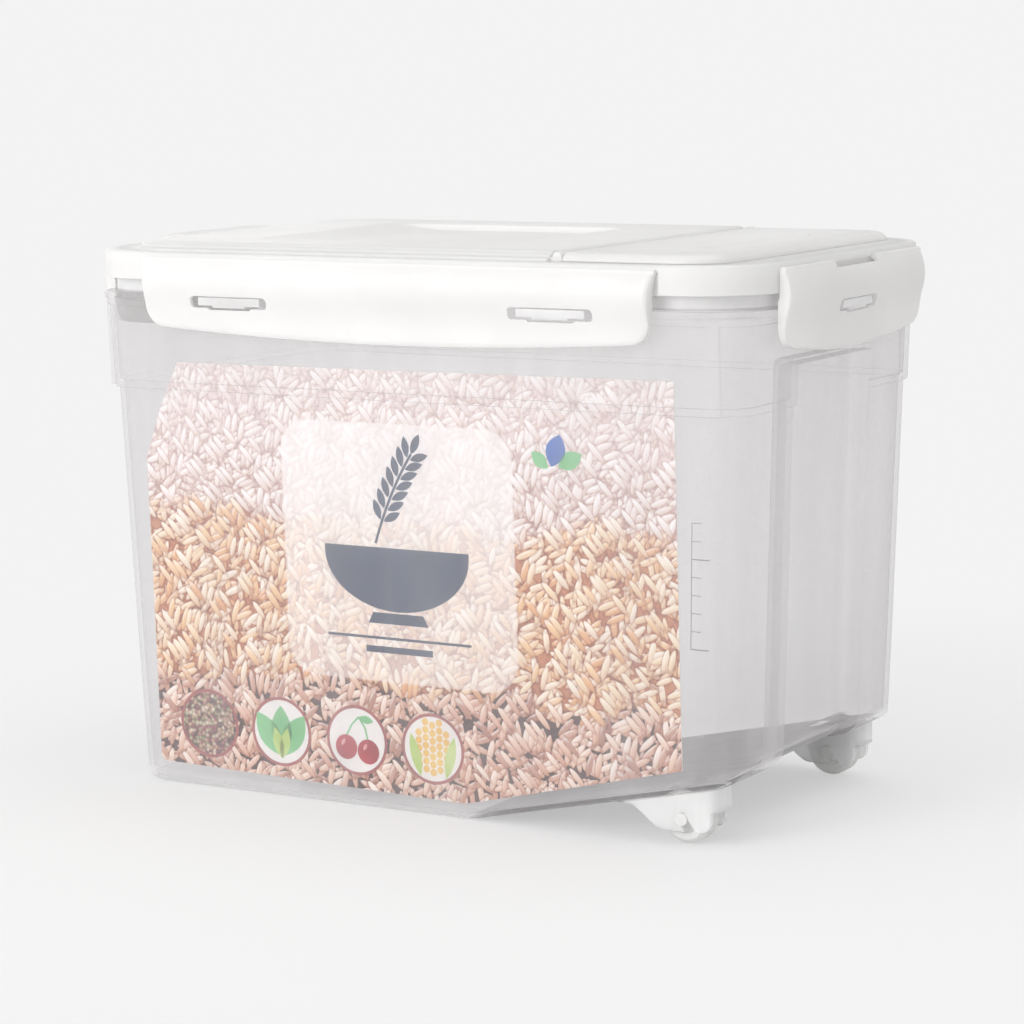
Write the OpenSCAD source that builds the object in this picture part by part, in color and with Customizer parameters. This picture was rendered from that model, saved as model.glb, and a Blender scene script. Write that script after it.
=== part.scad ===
// Rice bin with a flip lid: a tapered clear tub with a tilt-and-roll underside, a lid
// held down by four hinged side locks, and a hatch that folds up over one third of the lid.
// +X runs along the length towards the wheels, +Y to the rear, +Z up. The origin is on the
// floor under the middle of the tub.

/* [Tub] */
// Length of the tub at the floor
tub_len = 360; // [320:1:400]
// Width of the tub at the floor
tub_wid = 193; // [180:1:210]
// Height of the tub's open rim above the floor
rim_z = 279; // [270:1:300]
// Outward lean of the walls, in mm per mm of height
draft = 0.032; // [0.02:0.002:0.04]
// Wall thickness of the tub
wall = 2.5; // [2:0.1:3]
// Radius of the upright corners, seen from above
corner_r = 20; // [16:1:24]
// Radius of the edge between the walls and the underside
edge_r = 5; // [4:0.5:12]
// Radius of the edge under the end wall over the wheels
toe_r = 14; // [8:0.5:16]
// Distance from the tub's middle to the knee of the underside
knee_x = 28.4; // [0:0.1:60]
// Rise of the underside past the knee, in mm per mm
slope = 0.217; // [0.15:0.001:0.25]

/* [Shoulder band] */
// Height of the step where the shoulder band begins
band_z = 214; // [200:1:225]
// How far the band stands out from the lower wall
band_out = 2.2; // [1.5:0.1:2.4]
// How far the flat panels stand out from the lower wall
panel_out = 2.8; // [2.4:0.1:3.2]
// Distance from the end of a flat panel to the side wall next to it
panel_gap = 9.5; // [8:0.5:14]
// Height of the lower face of the stiffening bead
bead_z = 257; // [254:0.5:258]
// How far the bead stands out from the wall
bead_out = 5.6; // [4:0.1:5.8]

/* [End recess] */
// Width of the recess in the end over the wheels
recess_wid = 90; // [60:1:110]
// Depth of the recess
recess_deep = 10; // [6:0.5:12]
// Height of the top of the recess
recess_z = 233.5; // [225:0.5:238]

/* [Wheels] */
// Radius of a wheel
wheel_r = 13; // [12:0.1:13.6]
// Height of the wheels' axles above the floor
wheel_z = 13.8; // [13.6:0.1:14.4]
// Width of a wheel
wheel_w = 13; // [10:0.5:14]
// Distance of the wheels from the tub's middle, along the length
wheel_x = 149.6; // [146:0.1:151]
// Distance of each wheel from the middle, across the width
wheel_y = 83.4; // [80:0.1:84]
// Radius of the stub axles
stub_r = 3.1; // [2.5:0.1:3.5]
// Radial clearance of the stub axles and the hinge pins
run_gap = 0.05; // [0.02:0.01:0.1]

/* [Lid] */
// Length of the lid's rim
lid_len = 394; // [392:1:396]
// Width of the lid's rim
lid_wid = 228; // [226:1:230]
// Corner radius of the lid's rim
lid_r = 43; // [41:0.5:44]
// Height of the rim's upper face
deck_z = 285; // [284:0.5:286]
// Height of the lower edge of the skirt
skirt_z = 270.5; // [266:0.5:274]
// Height of the top of the fixed plateau
plateau_z = 290; // [289:0.5:292]
// Left and right end of the plateau
plateau_x = [-168, 87];
// Left and right end of the shallow tray in the plateau
tray_x = [-113, 34];
// Width of the tray
tray_wid = 138; // [100:1:150]
// Depth of the tray
tray_deep = 3.5; // [2:0.1:3.6]

/* [Flip lid] */
// Left and right end of the flip lid's cover
flip_x = [93.6, 177];
// Width of the flip lid
flip_wid = 213; // [206:1:215]
// Height of the flip lid's cover face
flip_z = 288.9; // [288.5:0.1:289.4]
// Place of the flip lid's hinge axis along the length
flip_axis_x = 90.6; // [90.4:0.1:90.8]
// Height of the flip lid's hinge axis
flip_axis_z = 287; // [286.9:0.1:287.1]
// Left and right end of the hatch that the flip lid closes
hatch_x = [103, 168];
// Width of the hatch
hatch_wid = 186; // [150:1:188]

/* [Side locks] */
// Half the length of the locks on the long sides
side_lock_half = 147; // [120:1:150]
// Place of the middle of the long locks along the length
side_lock_x = -1.5; // [-4:0.5:4]
// Half the length of the locks on the ends
end_lock_half = 80; // [60:1:81]
// Height of the locks' hinge axis
lock_axis_z = 281.5; // [281.2:0.1:281.8]
// Thickness of a lock's plate
lock_t = 2.2; // [1.8:0.1:2.4]
// How far a lock's plate swells out between its hinge and its slots
lock_swell = 3.1; // [2:0.1:3.6]
// Height of the middle of the long locks' lower edge
side_lock_low = 241.8; // [240:0.1:248]
// Height of the middle of the end locks' lower edge
end_lock_low = 238.5; // [236:0.5:248]
// Distance of the two slots from the middle of a long lock
slot_x = 94; // [80:1:110]
// Length of a slot on the long sides
side_slot = 47; // [40:1:56]
// Length of a slot on the ends
end_slot = 43; // [36:1:50]

/* [Measuring cup] */
// Height of the measuring cup
cup_h = 68; // [50:1:80]
// Radius of the cup's mouth
cup_top_r = 33; // [30:0.5:36]
// Radius of the cup's base
cup_base_r = 28; // [24:0.5:29]
// Where the cup stands on the tub's floor
cup_at = [-112, 12];

/* [Hidden] */
$fn = 32;

// Tub
slope_a = atan(slope);
neck_r = 36;
bead_r = corner_r + 8;
bead_h = 7;
bead_groove = 1;
panel_low = 1;
panel_thick = 5;

// Lugs on the bead, which the slots of the locks catch
lug_z = [258.6, 262.8];
lug_short = 4.5;
lug_nub = [20, 1];
lug_proud = 1.2;

// Wheel brackets
cheek_t = 3;
side_gap = 1;
snap_slot = 5;
snap_turn = 50;
snap_long = 18;
bracket_len = 55.7;
bracket_r = 7;
bracket_foot = 18.2;
cheek_low = 7.4;
bracket_root = [34, 46];
arch_gap = 1.4;

// Wheels
wheel_edge = 2;
wheel_dish = 1.5;
dish_r = 7;

// Lid
plate = 2.5;
skirt_t = 2.2;
lock_pocket = 1.2;
lock_end_gap = 1.5;
plug_in = 1.8;
plug_t = 1.6;
plug_z = 272;
seal_gap = 0.2;
tiers = [[0, 0], [2.6, 1.3], [5.2, 3.1]];
square_end = 30;
plateau_half = 104;
plateau_r = 24;
grip_x = [-191, -178];
grip_half = 43;
grip_z = 289;

// Flip lid
flip_lip_z = deck_z + 0.3;
flip_t = 2;
flip_wall = 1.8;
flip_r = 24;
pad_x = [104, 150];
pad_half = 98;
pad_z = 290.6;
pad_slope = 26;
flip_step = 1.4;
barrel_r = 1.7;
barrel_half = 98;
pin_r = 1.2;
ear_r = 2.6;
ear_y = [98.4, 106.5];
coaming_z = 286;
coaming_t = 2;
stopper = 3;
stopper_z = 279.5;

// Side locks
lock_out = 2.5;
knuckle_r = 1.4;
flange_t = 1.8;
flange_deep = [3.2, 4];
flange_break = 268.5;
slot_z = [257.4, 263.5];
slot_dip = [27, 1];
slot_r = 2.2;
lock_corner = 11;
lock_flare = [2.5, 0];
flare_z = 262;
swell_r = 25;
swell_z = 269.5;
hollow_r = 40;
lock_rise = [0.00026, 0.0011];
window_half = 24;
window_z = 279;

// Printed sheet
label_gap = 0.5;
label_t = 0.6;

// Measuring cup
cup_wall = 1.6;
cup_lip = 2;
cup_hole_r = 5;
cup_handle = [46, 20, 3];
cup_lift = 0.3;

clear_pp = [0.86, 0.87, 0.89, 0.55];
white_pp = [0.95, 0.95, 0.93];
seal_grey = [0.85, 0.86, 0.87];
print_tan = [0.86, 0.72, 0.58];
far = 400;
bite = 0.5;

// Half length and half width of the tub's lower wall at height z
function half_len(z) = tub_len / 2 + draft * z;
function half_wid(z) = tub_wid / 2 + draft * z;

// Half sizes of the upright neck under the lid
neck_half = [half_len(rim_z) + band_out, half_wid(rim_z) + band_out];

// Height of the centre of an edge round that rests on the sloping underside at x
function slope_mid(x) =
    slope * (x - knee_x) + ((corner_r - edge_r) * sin(slope_a) + edge_r) / cos(slope_a);
knee_mid = knee_x - (slope_mid(knee_x) - edge_r) / slope;
toe_x = half_len(edge_r * 4) - corner_r;
toe_mid = slope_mid(toe_x);

// A flat rounded rectangle with half sizes a and b and corner radius r
module rounded(a, b, r) {
    square([2 * (a - r), 2 * b], center = true);
    square([2 * a, 2 * (b - r)], center = true);
    for (x = [-1, 1], y = [-1, 1])
        translate([x * (a - r), y * (b - r)]) circle(r, $fn = 64);
}

// A rounded rectangle from x0 to x1, with half width b, raised from z0 to z1
module slab(x0, x1, b, r, z0, z1) {
    translate([(x0 + x1) / 2, 0, z0])
        linear_extrude(z1 - z0) rounded((x1 - x0) / 2, b, r);
}

// A disc with a rounded rim, inset from the tub's outer face by t
module edge_round(x, y, z, t) {
    translate([x, y, z])
        rotate_extrude() translate([corner_r - edge_r, 0]) circle(edge_r - t);
}

// The tub below height top as one solid form, inset by t
module tub_form(t, top) {
    hull() {
        for (s = [-1, 1]) {
            edge_round(corner_r - half_len(edge_r), s * (half_wid(edge_r) - corner_r), edge_r, t);
            edge_round(knee_mid, s * (half_wid(edge_r) - corner_r), edge_r, t);
            edge_round(toe_x, s * (half_wid(toe_mid) - corner_r), toe_mid, t);
            for (e = [-1, 1])
                translate([e * (half_len(top) - corner_r), s * (half_wid(top) - corner_r), top - 1])
                    cylinder(r = corner_r - t, h = 1);
        }
    }
}

// The shoulder band as one solid form between z0 and z1, standing out by d
module band_form(d, z0, z1) {
    hull()
        for (e = [-1, 1], s = [-1, 1]) {
            translate([e * (half_len(z0) - corner_r), s * (half_wid(z0) - corner_r), z0])
                cylinder(r = corner_r + d, h = 1);
            translate([
                e * (half_len(z1) - corner_r - bead_groove),
                s * (half_wid(z1) - corner_r - bead_groove), z1 - 1
            ]) cylinder(r = corner_r + bead_groove + d, h = 1);
        }
}

// A bar across the tub, or along it, whose outer face leans with the wall.
// at(z) gives the wall's place, so the bar's section is drawn in the upright plane.
module leaning_bar(long_side, half, z0, z1, out, thick) {
    base = long_side ? tub_wid / 2 : tub_len / 2;
    turn = long_side ? 0 : 90;
    rotate([0, 0, turn]) rotate([90, 0, 90])
        linear_extrude(2 * half, center = true)
            polygon([
                [base + draft * z0 + out, z0],
                [base + draft * z1 + out, z1],
                [base + draft * z1 + out - thick, z1],
                [base + draft * z0 + out - thick, z0]
            ]);
}

// Section of what the round edge under an end wall at wall_x cuts away, drawn in by t
module toe_cut(wall_x, t) {
    x = wall_x - toe_r;
    z = slope * (x - knee_x) + toe_r / cos(slope_a);
    difference() {
        translate([x, 0]) square([far, z]);
        translate([x, z]) circle(toe_r - t, $fn = 96);
    }
}

// The round edge under the whole end over the wheels, drawn in by t
module end_toe(t) {
    rotate([90, 0, 0]) linear_extrude(far, center = true) toe_cut(half_len(toe_r * 3), t);
}

// The recess in the end over the wheels with its own round lower edge, grown by t
module end_recess(t) {
    rotate([90, 0, 0])
        linear_extrude(recess_wid + 2 * t, center = true) {
            polygon([
                [half_len(-20) - recess_deep - t, -20],
                [half_len(recess_z + t) - recess_deep - t, recess_z + t],
                [far, recess_z + t],
                [far, -20]
            ]);
            toe_cut(half_len(toe_r * 3) - recess_deep, t);
        }
}

// Catch lugs along one wall: half is the lug's half length, tip its outer face
module lug(half, from, tip) {
    translate([-half, -tip, lug_z[0]]) cube([2 * half, tip - from, lug_z[1] - lug_z[0]]);
    translate([-lug_nub[0] / 2, -tip, lug_z[0] - lug_nub[1]])
        cube([lug_nub[0], tip - from, lug_nub[1] + bite]);
}

// Side outline of a wheel bracket in the upright X-Z plane
module bracket_outline() {
    polygon([
        [bracket_x, bracket_foot + 0.4], [bracket_x + 7, bracket_foot - 0.1],
        [bracket_x + 14, bracket_foot - 2.6], [bracket_x + 18.7, 12.2], [bracket_x + 22.5, 8.9],
        [bracket_x + 28, cheek_low], [bracket_x + 45, cheek_low], [bracket_x + 49.5, 9.2],
        [bracket_x + 51.3, 12.5], [bracket_x + 51.3, bracket_foot], [bracket_end, bracket_foot],
        [bracket_end, bracket_root[1]], [bracket_x + 20, bracket_root[0]]
    ]);
}

// Where a bracket begins and ends along the tub
bracket_x = wheel_x - 36;
bracket_end = bracket_x + bracket_len;

// Distances of the cheeks' facing sides from the tub's middle, across the width
cheek_in = wheel_y - wheel_w / 2 - side_gap;
cheek_out = wheel_y + wheel_w / 2 + side_gap;

// The bracket that carries the wheel at the side s of the tub
module bracket(s) {
    difference() {
        intersection() {
            rotate([90, 0, 0]) linear_extrude(2 * far, center = true) bracket_outline();
            difference() {
                slab_at(bracket_x - 20, bracket_end, s, cheek_in - cheek_t, cheek_out + cheek_t,
                    bracket_r);
                slab_at(bracket_x - 40, bracket_end - cheek_t, s, cheek_in, cheek_out,
                    bracket_r - cheek_t);
            }
        }
        translate([wheel_x, 0, wheel_z]) {
            rotate([90, 0, 0]) cylinder(r = stub_r + run_gap, h = far, center = true);
            rotate([0, snap_turn, 0]) translate([0, -far / 2, -snap_slot / 2])
                cube([snap_long, far, snap_slot]);
        }
    }
}

// An upright block from x0 to x1 and from y0 to y1 on the side s, with round corners
module slab_at(x0, x1, s, y0, y1, r) {
    translate([0, s * (y0 + y1) / 2, 0]) slab(x0, x1, (y1 - y0) / 2, r, 0, bracket_root[1]);
}

// The round pocket over a wheel, grown by t
module wheel_arch(s, t) {
    translate([wheel_x, s * wheel_y, wheel_z]) rotate([90, 0, 0])
        cylinder(r = wheel_r + arch_gap + t, h = cheek_out - cheek_in + 2 * t, center = true,
            $fn = 64);
}

module bin_body() {
    color(clear_pp) difference() {
        union() {
            difference() {
                union() {
                    tub_form(0, band_z + bite);
                    band_form(band_out, band_z, bead_z + bite);
                    for (turn = [0, 180])
                        rotate([0, 0, turn])
                            leaning_bar(true, half_len(band_z) - panel_gap, band_z - panel_low,
                                bead_z + bite, panel_out, panel_thick);
                    leaning_bar(false, half_wid(band_z) - panel_gap, band_z - panel_low,
                        bead_z + bite, panel_out, panel_thick);
                }
                end_toe(0);
                end_recess(0);
                for (s = [-1, 1]) wheel_arch(s, 0);
            }
            for (s = [-1, 1]) bracket(s);
            slab(-neck_half[0], neck_half[0], neck_half[1], neck_r, bead_z, rim_z);
            for (tier = [0, 1])
                translate([0, 0, bead_z + tier * bead_h / 2])
                    linear_extrude(bead_h / 2)
                        rounded(half_len(bead_z) + bead_out - bead_groove * (1 - tier),
                            half_wid(bead_z) + bead_out - bead_groove * (1 - tier), bead_r);
            for (x = [-slot_x, slot_x], turn = [0, 180])
                translate([side_lock_x + x, 0, 0]) rotate([0, 0, turn])
                    lug((side_slot - 2 * lug_short) / 2, half_wid(bead_z), side_face + lug_proud);
            for (turn = [90, -90]) rotate([0, 0, turn])
                lug((end_slot - 2 * lug_short) / 2, half_len(bead_z), end_face + lug_proud);
        }
        difference() {
            union() {
                tub_form(wall, band_z + wall + bite);
                band_form(band_out - wall, band_z + wall, bead_z + wall);
            }
            end_toe(wall);
            end_recess(wall);
            for (s = [-1, 1]) wheel_arch(s, wall);
        }
        slab(wall - neck_half[0], neck_half[0] - wall, neck_half[1] - wall, neck_r - wall, bead_z,
            rim_z + 1);
    }
}

// The printed sheet that stands inside the front wall
module label_insert() {
    color(print_tan)
        translate([0, wall + label_gap + label_t - tub_wid / 2, 0])
            rotate([90 + atan(draft), 0, 0])
                linear_extrude(label_t)
                    polygon([
                        [-141, 227], [-154, 201], [-163.5, 176], [-163.5, 14], [-161, 11.5],
                        [knee_x - 2, 8], [150.5, 38], [150.5, 229]
                    ]);
}

// Outer faces of the locks, and their hinge axes
side_face = lid_wid / 2 + lock_out;
end_face = lid_len / 2 + lock_out;

// Removes room for one lock and its knuckle from the rim
module lock_room(half, face) {
    translate([-half - lock_end_gap, -face - 1, skirt_z - 1])
        cube([2 * (half + lock_end_gap), lock_out + 1 + lock_pocket, lock_axis_z - skirt_z + 1]);
    translate([0, -(face - knuckle_r), lock_axis_z]) rotate([0, 90, 0])
        cylinder(r = knuckle_r + run_gap, h = 2 * (half + lock_end_gap), center = true);
}

module each_lock_side() {
    for (turn = [0, 180]) translate([side_lock_x, 0, 0]) rotate([0, 0, turn]) {
        $half = side_lock_half + lock_flare[0];
        $face = side_face;
        children();
    }
    for (turn = [90, -90]) rotate([0, 0, turn]) {
        $half = end_lock_half;
        $face = end_face;
        children();
    }
}

// Inner face of the tub's rim, which the lid's plug clears
plug_half = [neck_half[0] - wall - plug_in, neck_half[1] - wall - plug_in];
plug_r = neck_r - wall - plug_in;

module main_lid() {
    half_l = lid_len / 2;
    half_w = lid_wid / 2;
    recess_l = half_l - lock_pocket - skirt_t;
    recess_w = half_w - lock_pocket - skirt_t;
    floor_z = plateau_z - tray_deep;
    color(white_pp) difference() {
        union() {
            difference() {
                slab(-half_l, half_l, half_w, lid_r, skirt_z, deck_z);
                slab(-recess_l, recess_l, recess_w, lid_r - lock_pocket - skirt_t, skirt_z - 1,
                    deck_z - plate);
            }
            difference() {
                slab(-plug_half[0], plug_half[0], plug_half[1], plug_r, plug_z, deck_z - bite);
                slab(plug_t - plug_half[0], plug_half[0] - plug_t, plug_half[1] - plug_t,
                    plug_r - plug_t, plug_z - 1, deck_z);
            }
            for (tier = tiers) plateau_tier(tier[0], plateau_z - tier[1]);
            slab(grip_x[0], grip_x[1], grip_half, 4, deck_z - plate, grip_z);
            slab(hatch_x[0] - coaming_t, hatch_x[1] + coaming_t, hatch_wid / 2 + coaming_t, 12,
                deck_z - plate, coaming_z);
            for (s = [-1, 1]) hinge_ear(s);
        }
        difference() {
            slab(plateau_x[0] + plate, plateau_x[1] - plate, plateau_half - plate, plateau_r - plate,
                plug_z, plateau_z - plate);
            slab(tray_x[0] - plate, tray_x[1] + plate, tray_wid / 2 + plate, 12,
                floor_z - plate, plateau_z);
        }
        slab(tray_x[0], tray_x[1], tray_wid / 2, 10, floor_z, plateau_z + 1);
        slab(hatch_x[0], hatch_x[1], hatch_wid / 2, 10, plug_z, coaming_z + 1);
        each_lock_side() lock_room($half, $face);
        translate([flip_axis_x, 0, flip_axis_z]) rotate([90, 0, 0])
            cylinder(r = pin_r + run_gap, h = 2 * (ear_y[1] - 2), center = true);
    }
}

// One tier of the plateau, drawn out by t: round at the grip, square at the flip lid
module plateau_tier(t, top) {
    slab(plateau_x[0] - t, plateau_x[1], plateau_half + t, plateau_r + t, deck_z - plate, top);
    translate([plateau_x[1] - square_end, -plateau_half - t, deck_z - plate])
        cube([square_end, 2 * (plateau_half + t), top - deck_z + plate]);
}

// One ear of the flip lid's hinge, at the front or the rear
module hinge_ear(s) {
    y0 = s > 0 ? ear_y[0] : -ear_y[1];
    long = ear_y[1] - ear_y[0];
    translate([flip_axis_x, y0 + long, flip_axis_z]) rotate([90, 0, 0])
        cylinder(r = ear_r, h = long, $fn = 48);
    translate([plateau_x[1] - 1, y0, deck_z - bite])
        cube([flip_axis_x + ear_r - plateau_x[1] + 1, long, flip_axis_z - deck_z + bite]);
}

// The seal that the tub's rim presses into the lid
module main_gasket() {
    color(seal_grey) difference() {
        slab(-neck_half[0], neck_half[0], neck_half[1], neck_r, rim_z, deck_z - plate);
        slab(-plug_half[0] - seal_gap, plug_half[0] + seal_gap, plug_half[1] + seal_gap,
            plug_r + seal_gap, rim_z - 1, deck_z);
    }
}

module flip_lid() {
    color(white_pp) {
        difference() {
            union() {
                for (tier = [0, 1, 2])
                    flip_tier(tier * flip_step, flip_lip_z,
                        flip_z - (2 - tier) * (flip_z - flip_lip_z) / 3.5);
                flip_pad();
                translate([flip_axis_x, 0, flip_axis_z]) rotate([90, 0, 0])
                    cylinder(r = barrel_r, h = 2 * barrel_half, center = true);
                translate([flip_axis_x, -barrel_half, flip_z - flip_t])
                    cube([flip_x[0] - flip_axis_x + 1, 2 * barrel_half, flip_t - 0.2]);
            }
            translate([flip_wall, 0, 0])
                flip_tier(flip_wall * 2, flip_lip_z - 1, flip_z - flip_t);
        }
        difference() {
            slab(hatch_x[0] + stopper, hatch_x[1] - stopper, hatch_wid / 2 - stopper, 8,
                stopper_z, flip_z - bite);
            slab(hatch_x[0] + stopper + plug_t, hatch_x[1] - stopper - plug_t,
                hatch_wid / 2 - stopper - plug_t, 7, stopper_z - 1, flip_z - flip_t);
        }
        translate([flip_axis_x, 0, flip_axis_z]) rotate([90, 0, 0])
            cylinder(r = pin_r, h = 2 * (ear_y[1] - 2.3), center = true);
    }
}

// One tier of the flip lid's cover: square at the hinge, round at the free corners, and
// drawn in by t at the front, the rear and the free edge
module flip_tier(t, z0, z1) {
    half = flip_wid / 2 - t;
    slab(flip_x[0], flip_x[1] - t, half, flip_r - t, z0, z1);
    translate([flip_x[0], -half, z0]) cube([square_end, 2 * half, z1 - z0]);
}

// The raised pad on the flip lid, with sloping front and rear ends
module flip_pad() {
    rise = pad_z - flip_z;
    translate([pad_x[0], 0, 0]) rotate([90, 0, 90])
        linear_extrude(pad_x[1] - pad_x[0])
            polygon([
                [-pad_half, flip_z - bite], [-pad_half, flip_z],
                [pad_slope - pad_half, flip_z + rise], [pad_half - pad_slope, flip_z + rise],
                [pad_half, flip_z], [pad_half, flip_z - bite]
            ]);
}

// The flat seal between the flip lid and the hatch's coaming
module flip_gasket() {
    color(seal_grey) difference() {
        slab(hatch_x[0] - coaming_t, hatch_x[1] + coaming_t, hatch_wid / 2 + coaming_t, 12,
            coaming_z, flip_z - flip_t);
        slab(hatch_x[0] + stopper - 0.5, hatch_x[1] - stopper + 0.5, hatch_wid / 2 - stopper + 0.5, 8.5,
            coaming_z - 1, flip_z);
    }
}

// A lock's outline, drawn upright: a straight top, flared sides, a bowed lower edge and round
// lower corners. shrink draws it smaller all round but at the open top.
module lock_outline(half, low, rise, flare, shrink) {
    a = half - shrink;
    r = lock_corner - shrink;
    top = lock_axis_z + sign(shrink);
    low_end = low + rise * pow(half - lock_corner, 2) + shrink;
    bow_r = 1 / (2 * rise);
    intersection() {
        union() {
            translate([-a, low_end + r]) square([2 * a, top - low_end - r]);
            translate([-(a - r), low - 1]) square([2 * (a - r), top - low + 1]);
            for (s = [-1, 1]) translate([s * (a - r), low_end + r]) circle(r, $fn = 48);
            if (flare > 0) lock_flanks(a, flare, top);
        }
        translate([0, low + bow_r + shrink]) circle(bow_r, $fn = 360);
    }
}

// The part of a lock's outline whose two sides spread out by flare up to the hinge
module lock_flanks(a, flare, top) {
    flank_r = (pow(lock_axis_z - flare_z, 2) + pow(flare, 2)) / (2 * flare);
    difference() {
        translate([-a - flare, flare_z]) square([2 * (a + flare), top - flare_z]);
        for (s = [-1, 1]) translate([s * (a + flank_r), flare_z]) circle(flank_r, $fn = 360);
    }
}

// A lock from its end, in the Y-Z plane with its face at y = 0 and the tub at positive y:
// flat at the slots, swelling out above them and back in at the hinge
module lock_side(deep) {
    reach = swell_r - lock_swell + hollow_r;
    flat_z = swell_z - sqrt(pow(swell_r + hollow_r, 2) - pow(reach, 2));
    share = swell_r / (swell_r + hollow_r);
    turn_y = swell_r - lock_swell - reach * share;
    turn_z = swell_z + (flat_z - swell_z) * share;
    difference() {
        union() {
            translate([0, lock_axis_z - far]) square([deep, far + 1]);
            polygon([[1, flat_z], [0, flat_z], [turn_y, turn_z], [1, turn_z]]);
            intersection() {
                translate([swell_r - lock_swell, swell_z]) circle(swell_r, $fn = 96);
                translate([-lock_swell - 1, turn_z]) square([lock_swell + 2, lock_axis_z + 1 - turn_z]);
            }
        }
        translate([-hollow_r, flat_z]) circle(hollow_r, $fn = 96);
    }
}

// A lock's solid shape, drawn in by shrink all round and set back by back from its face
module lock_block(half, face, low, rise, flare, shrink, back) {
    deep = flange_deep[1] + back;
    intersection() {
        translate([0, deep - face, 0]) rotate([90, 0, 0])
            linear_extrude(deep + lock_swell + 1) lock_outline(half, low, rise, flare, shrink);
        translate([-half - flare - 1, back - face, 0]) rotate([90, 0, 90])
            linear_extrude(2 * (half + flare + 1)) lock_side(flange_deep[1] + 1);
    }
}

// One lock, drawn at the front wall: half is its half length, face the face at its slots, low
// the middle of its lower edge, rise the bow of that edge, and window opens the hinge's middle
module lock(half, face, low, rise, flare, slots, slot_len, window) {
    wide = half + flare;
    axis_y = -(face - knuckle_r);
    cut_y = -face - lock_swell - 1;
    cut_deep = flange_deep[1] + lock_swell + 2;
    color(white_pp) difference() {
        union() {
            difference() {
                lock_block(half, face, low, rise, flare, 0, 0);
                lock_block(half, face, low, rise, flare, flange_t, lock_t);
                translate([-wide - 1, -face + flange_deep[0], flange_break])
                    cube([2 * wide + 2, flange_deep[1], far]);
            }
            translate([0, axis_y, lock_axis_z]) rotate([0, 90, 0])
                cylinder(r = knuckle_r, h = 2 * wide, center = true);
        }
        for (x = slots) translate([x, cut_y, 0]) {
            translate([0, cut_deep, (slot_z[0] + slot_z[1]) / 2])
                rotate([90, 0, 0]) linear_extrude(cut_deep)
                    rounded(slot_len / 2, (slot_z[1] - slot_z[0]) / 2, slot_r);
            translate([-slot_dip[0] / 2, 0, slot_z[0] - slot_dip[1]])
                cube([slot_dip[0], cut_deep, slot_dip[1] + bite]);
        }
        if (window)
            translate([-window_half, cut_y, window_z])
                cube([2 * window_half, cut_deep, far]);
    }
}

module side_lock() {
    lock(side_lock_half, side_face, side_lock_low, lock_rise[0], lock_flare[0], [-slot_x, slot_x],
        side_slot, false);
}

module end_lock() {
    lock(end_lock_half, end_face, end_lock_low, lock_rise[1], lock_flare[1], [0], end_slot, true);
}

module front_lock() {
    translate([side_lock_x, 0, 0]) side_lock();
}

module rear_lock() {
    translate([side_lock_x, 0, 0]) rotate([0, 0, 180]) side_lock();
}

module left_lock() {
    rotate([0, 0, -90]) end_lock();
}

module right_lock() {
    rotate([0, 0, 90]) end_lock();
}

// A wheel with its two stub axles, centred at the origin, axles along Y
module wheel() {
    stub = wheel_w / 2 + side_gap + cheek_t + 1;
    dish = wheel_w / 2 - wheel_dish;
    color(white_pp) rotate([90, 0, 0]) {
        rotate_extrude($fn = 96)
            polygon([
                [0, -dish], [dish_r, -dish], [dish_r + 1, -wheel_w / 2],
                [wheel_r - wheel_edge, -wheel_w / 2], [wheel_r, wheel_edge - wheel_w / 2],
                [wheel_r, wheel_w / 2 - wheel_edge], [wheel_r - wheel_edge, wheel_w / 2],
                [dish_r + 1, wheel_w / 2], [dish_r, dish], [0, dish]
            ]);
        cylinder(r = stub_r, h = 2 * stub, center = true, $fn = 48);
    }
}

module near_wheel() {
    translate([wheel_x, -wheel_y, wheel_z]) wheel();
}

module far_wheel() {
    translate([wheel_x, wheel_y, wheel_z]) wheel();
}

module measuring_cup() {
    lip = cup_top_r + cup_lip;
    color(white_pp) translate([cup_at[0], cup_at[1], wall + cup_lift]) {
        rotate_extrude($fn = 96)
            polygon([
                [0, 0], [cup_base_r, 0], [cup_top_r, cup_h - cup_lip], [lip, cup_h - cup_lip], [lip, cup_h],
                [cup_top_r - cup_wall, cup_h], [cup_base_r - cup_wall, cup_wall], [0, cup_wall]
            ]);
        difference() {
            translate([cup_top_r - 1, -cup_handle[1] / 2, cup_h - cup_handle[2]])
                cube([cup_handle[0], cup_handle[1], cup_handle[2]]);
            translate([cup_top_r + cup_handle[0] - 10, 0, 0]) cylinder(r = cup_hole_r, h = cup_h + 1);
        }
    }
}

bin_body();
label_insert();
main_lid();
main_gasket();
flip_lid();
flip_gasket();
front_lock();
rear_lock();
left_lock();
right_lock();
near_wheel();
far_wheel();
measuring_cup();
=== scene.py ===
import math

import bmesh
import bpy
from mathutils import Matrix, Vector


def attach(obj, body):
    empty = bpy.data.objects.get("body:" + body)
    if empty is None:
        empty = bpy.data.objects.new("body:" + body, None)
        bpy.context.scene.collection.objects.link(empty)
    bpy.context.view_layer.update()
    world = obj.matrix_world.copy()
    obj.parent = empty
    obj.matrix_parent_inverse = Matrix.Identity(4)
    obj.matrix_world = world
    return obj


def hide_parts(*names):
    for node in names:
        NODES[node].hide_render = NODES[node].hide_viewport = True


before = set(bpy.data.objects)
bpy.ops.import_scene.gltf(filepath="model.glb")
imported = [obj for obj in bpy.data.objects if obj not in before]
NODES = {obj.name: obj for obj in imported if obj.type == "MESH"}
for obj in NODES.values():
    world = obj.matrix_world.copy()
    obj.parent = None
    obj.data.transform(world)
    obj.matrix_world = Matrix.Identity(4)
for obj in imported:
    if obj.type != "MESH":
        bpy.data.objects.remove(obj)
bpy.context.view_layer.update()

MM = 0.001


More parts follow.
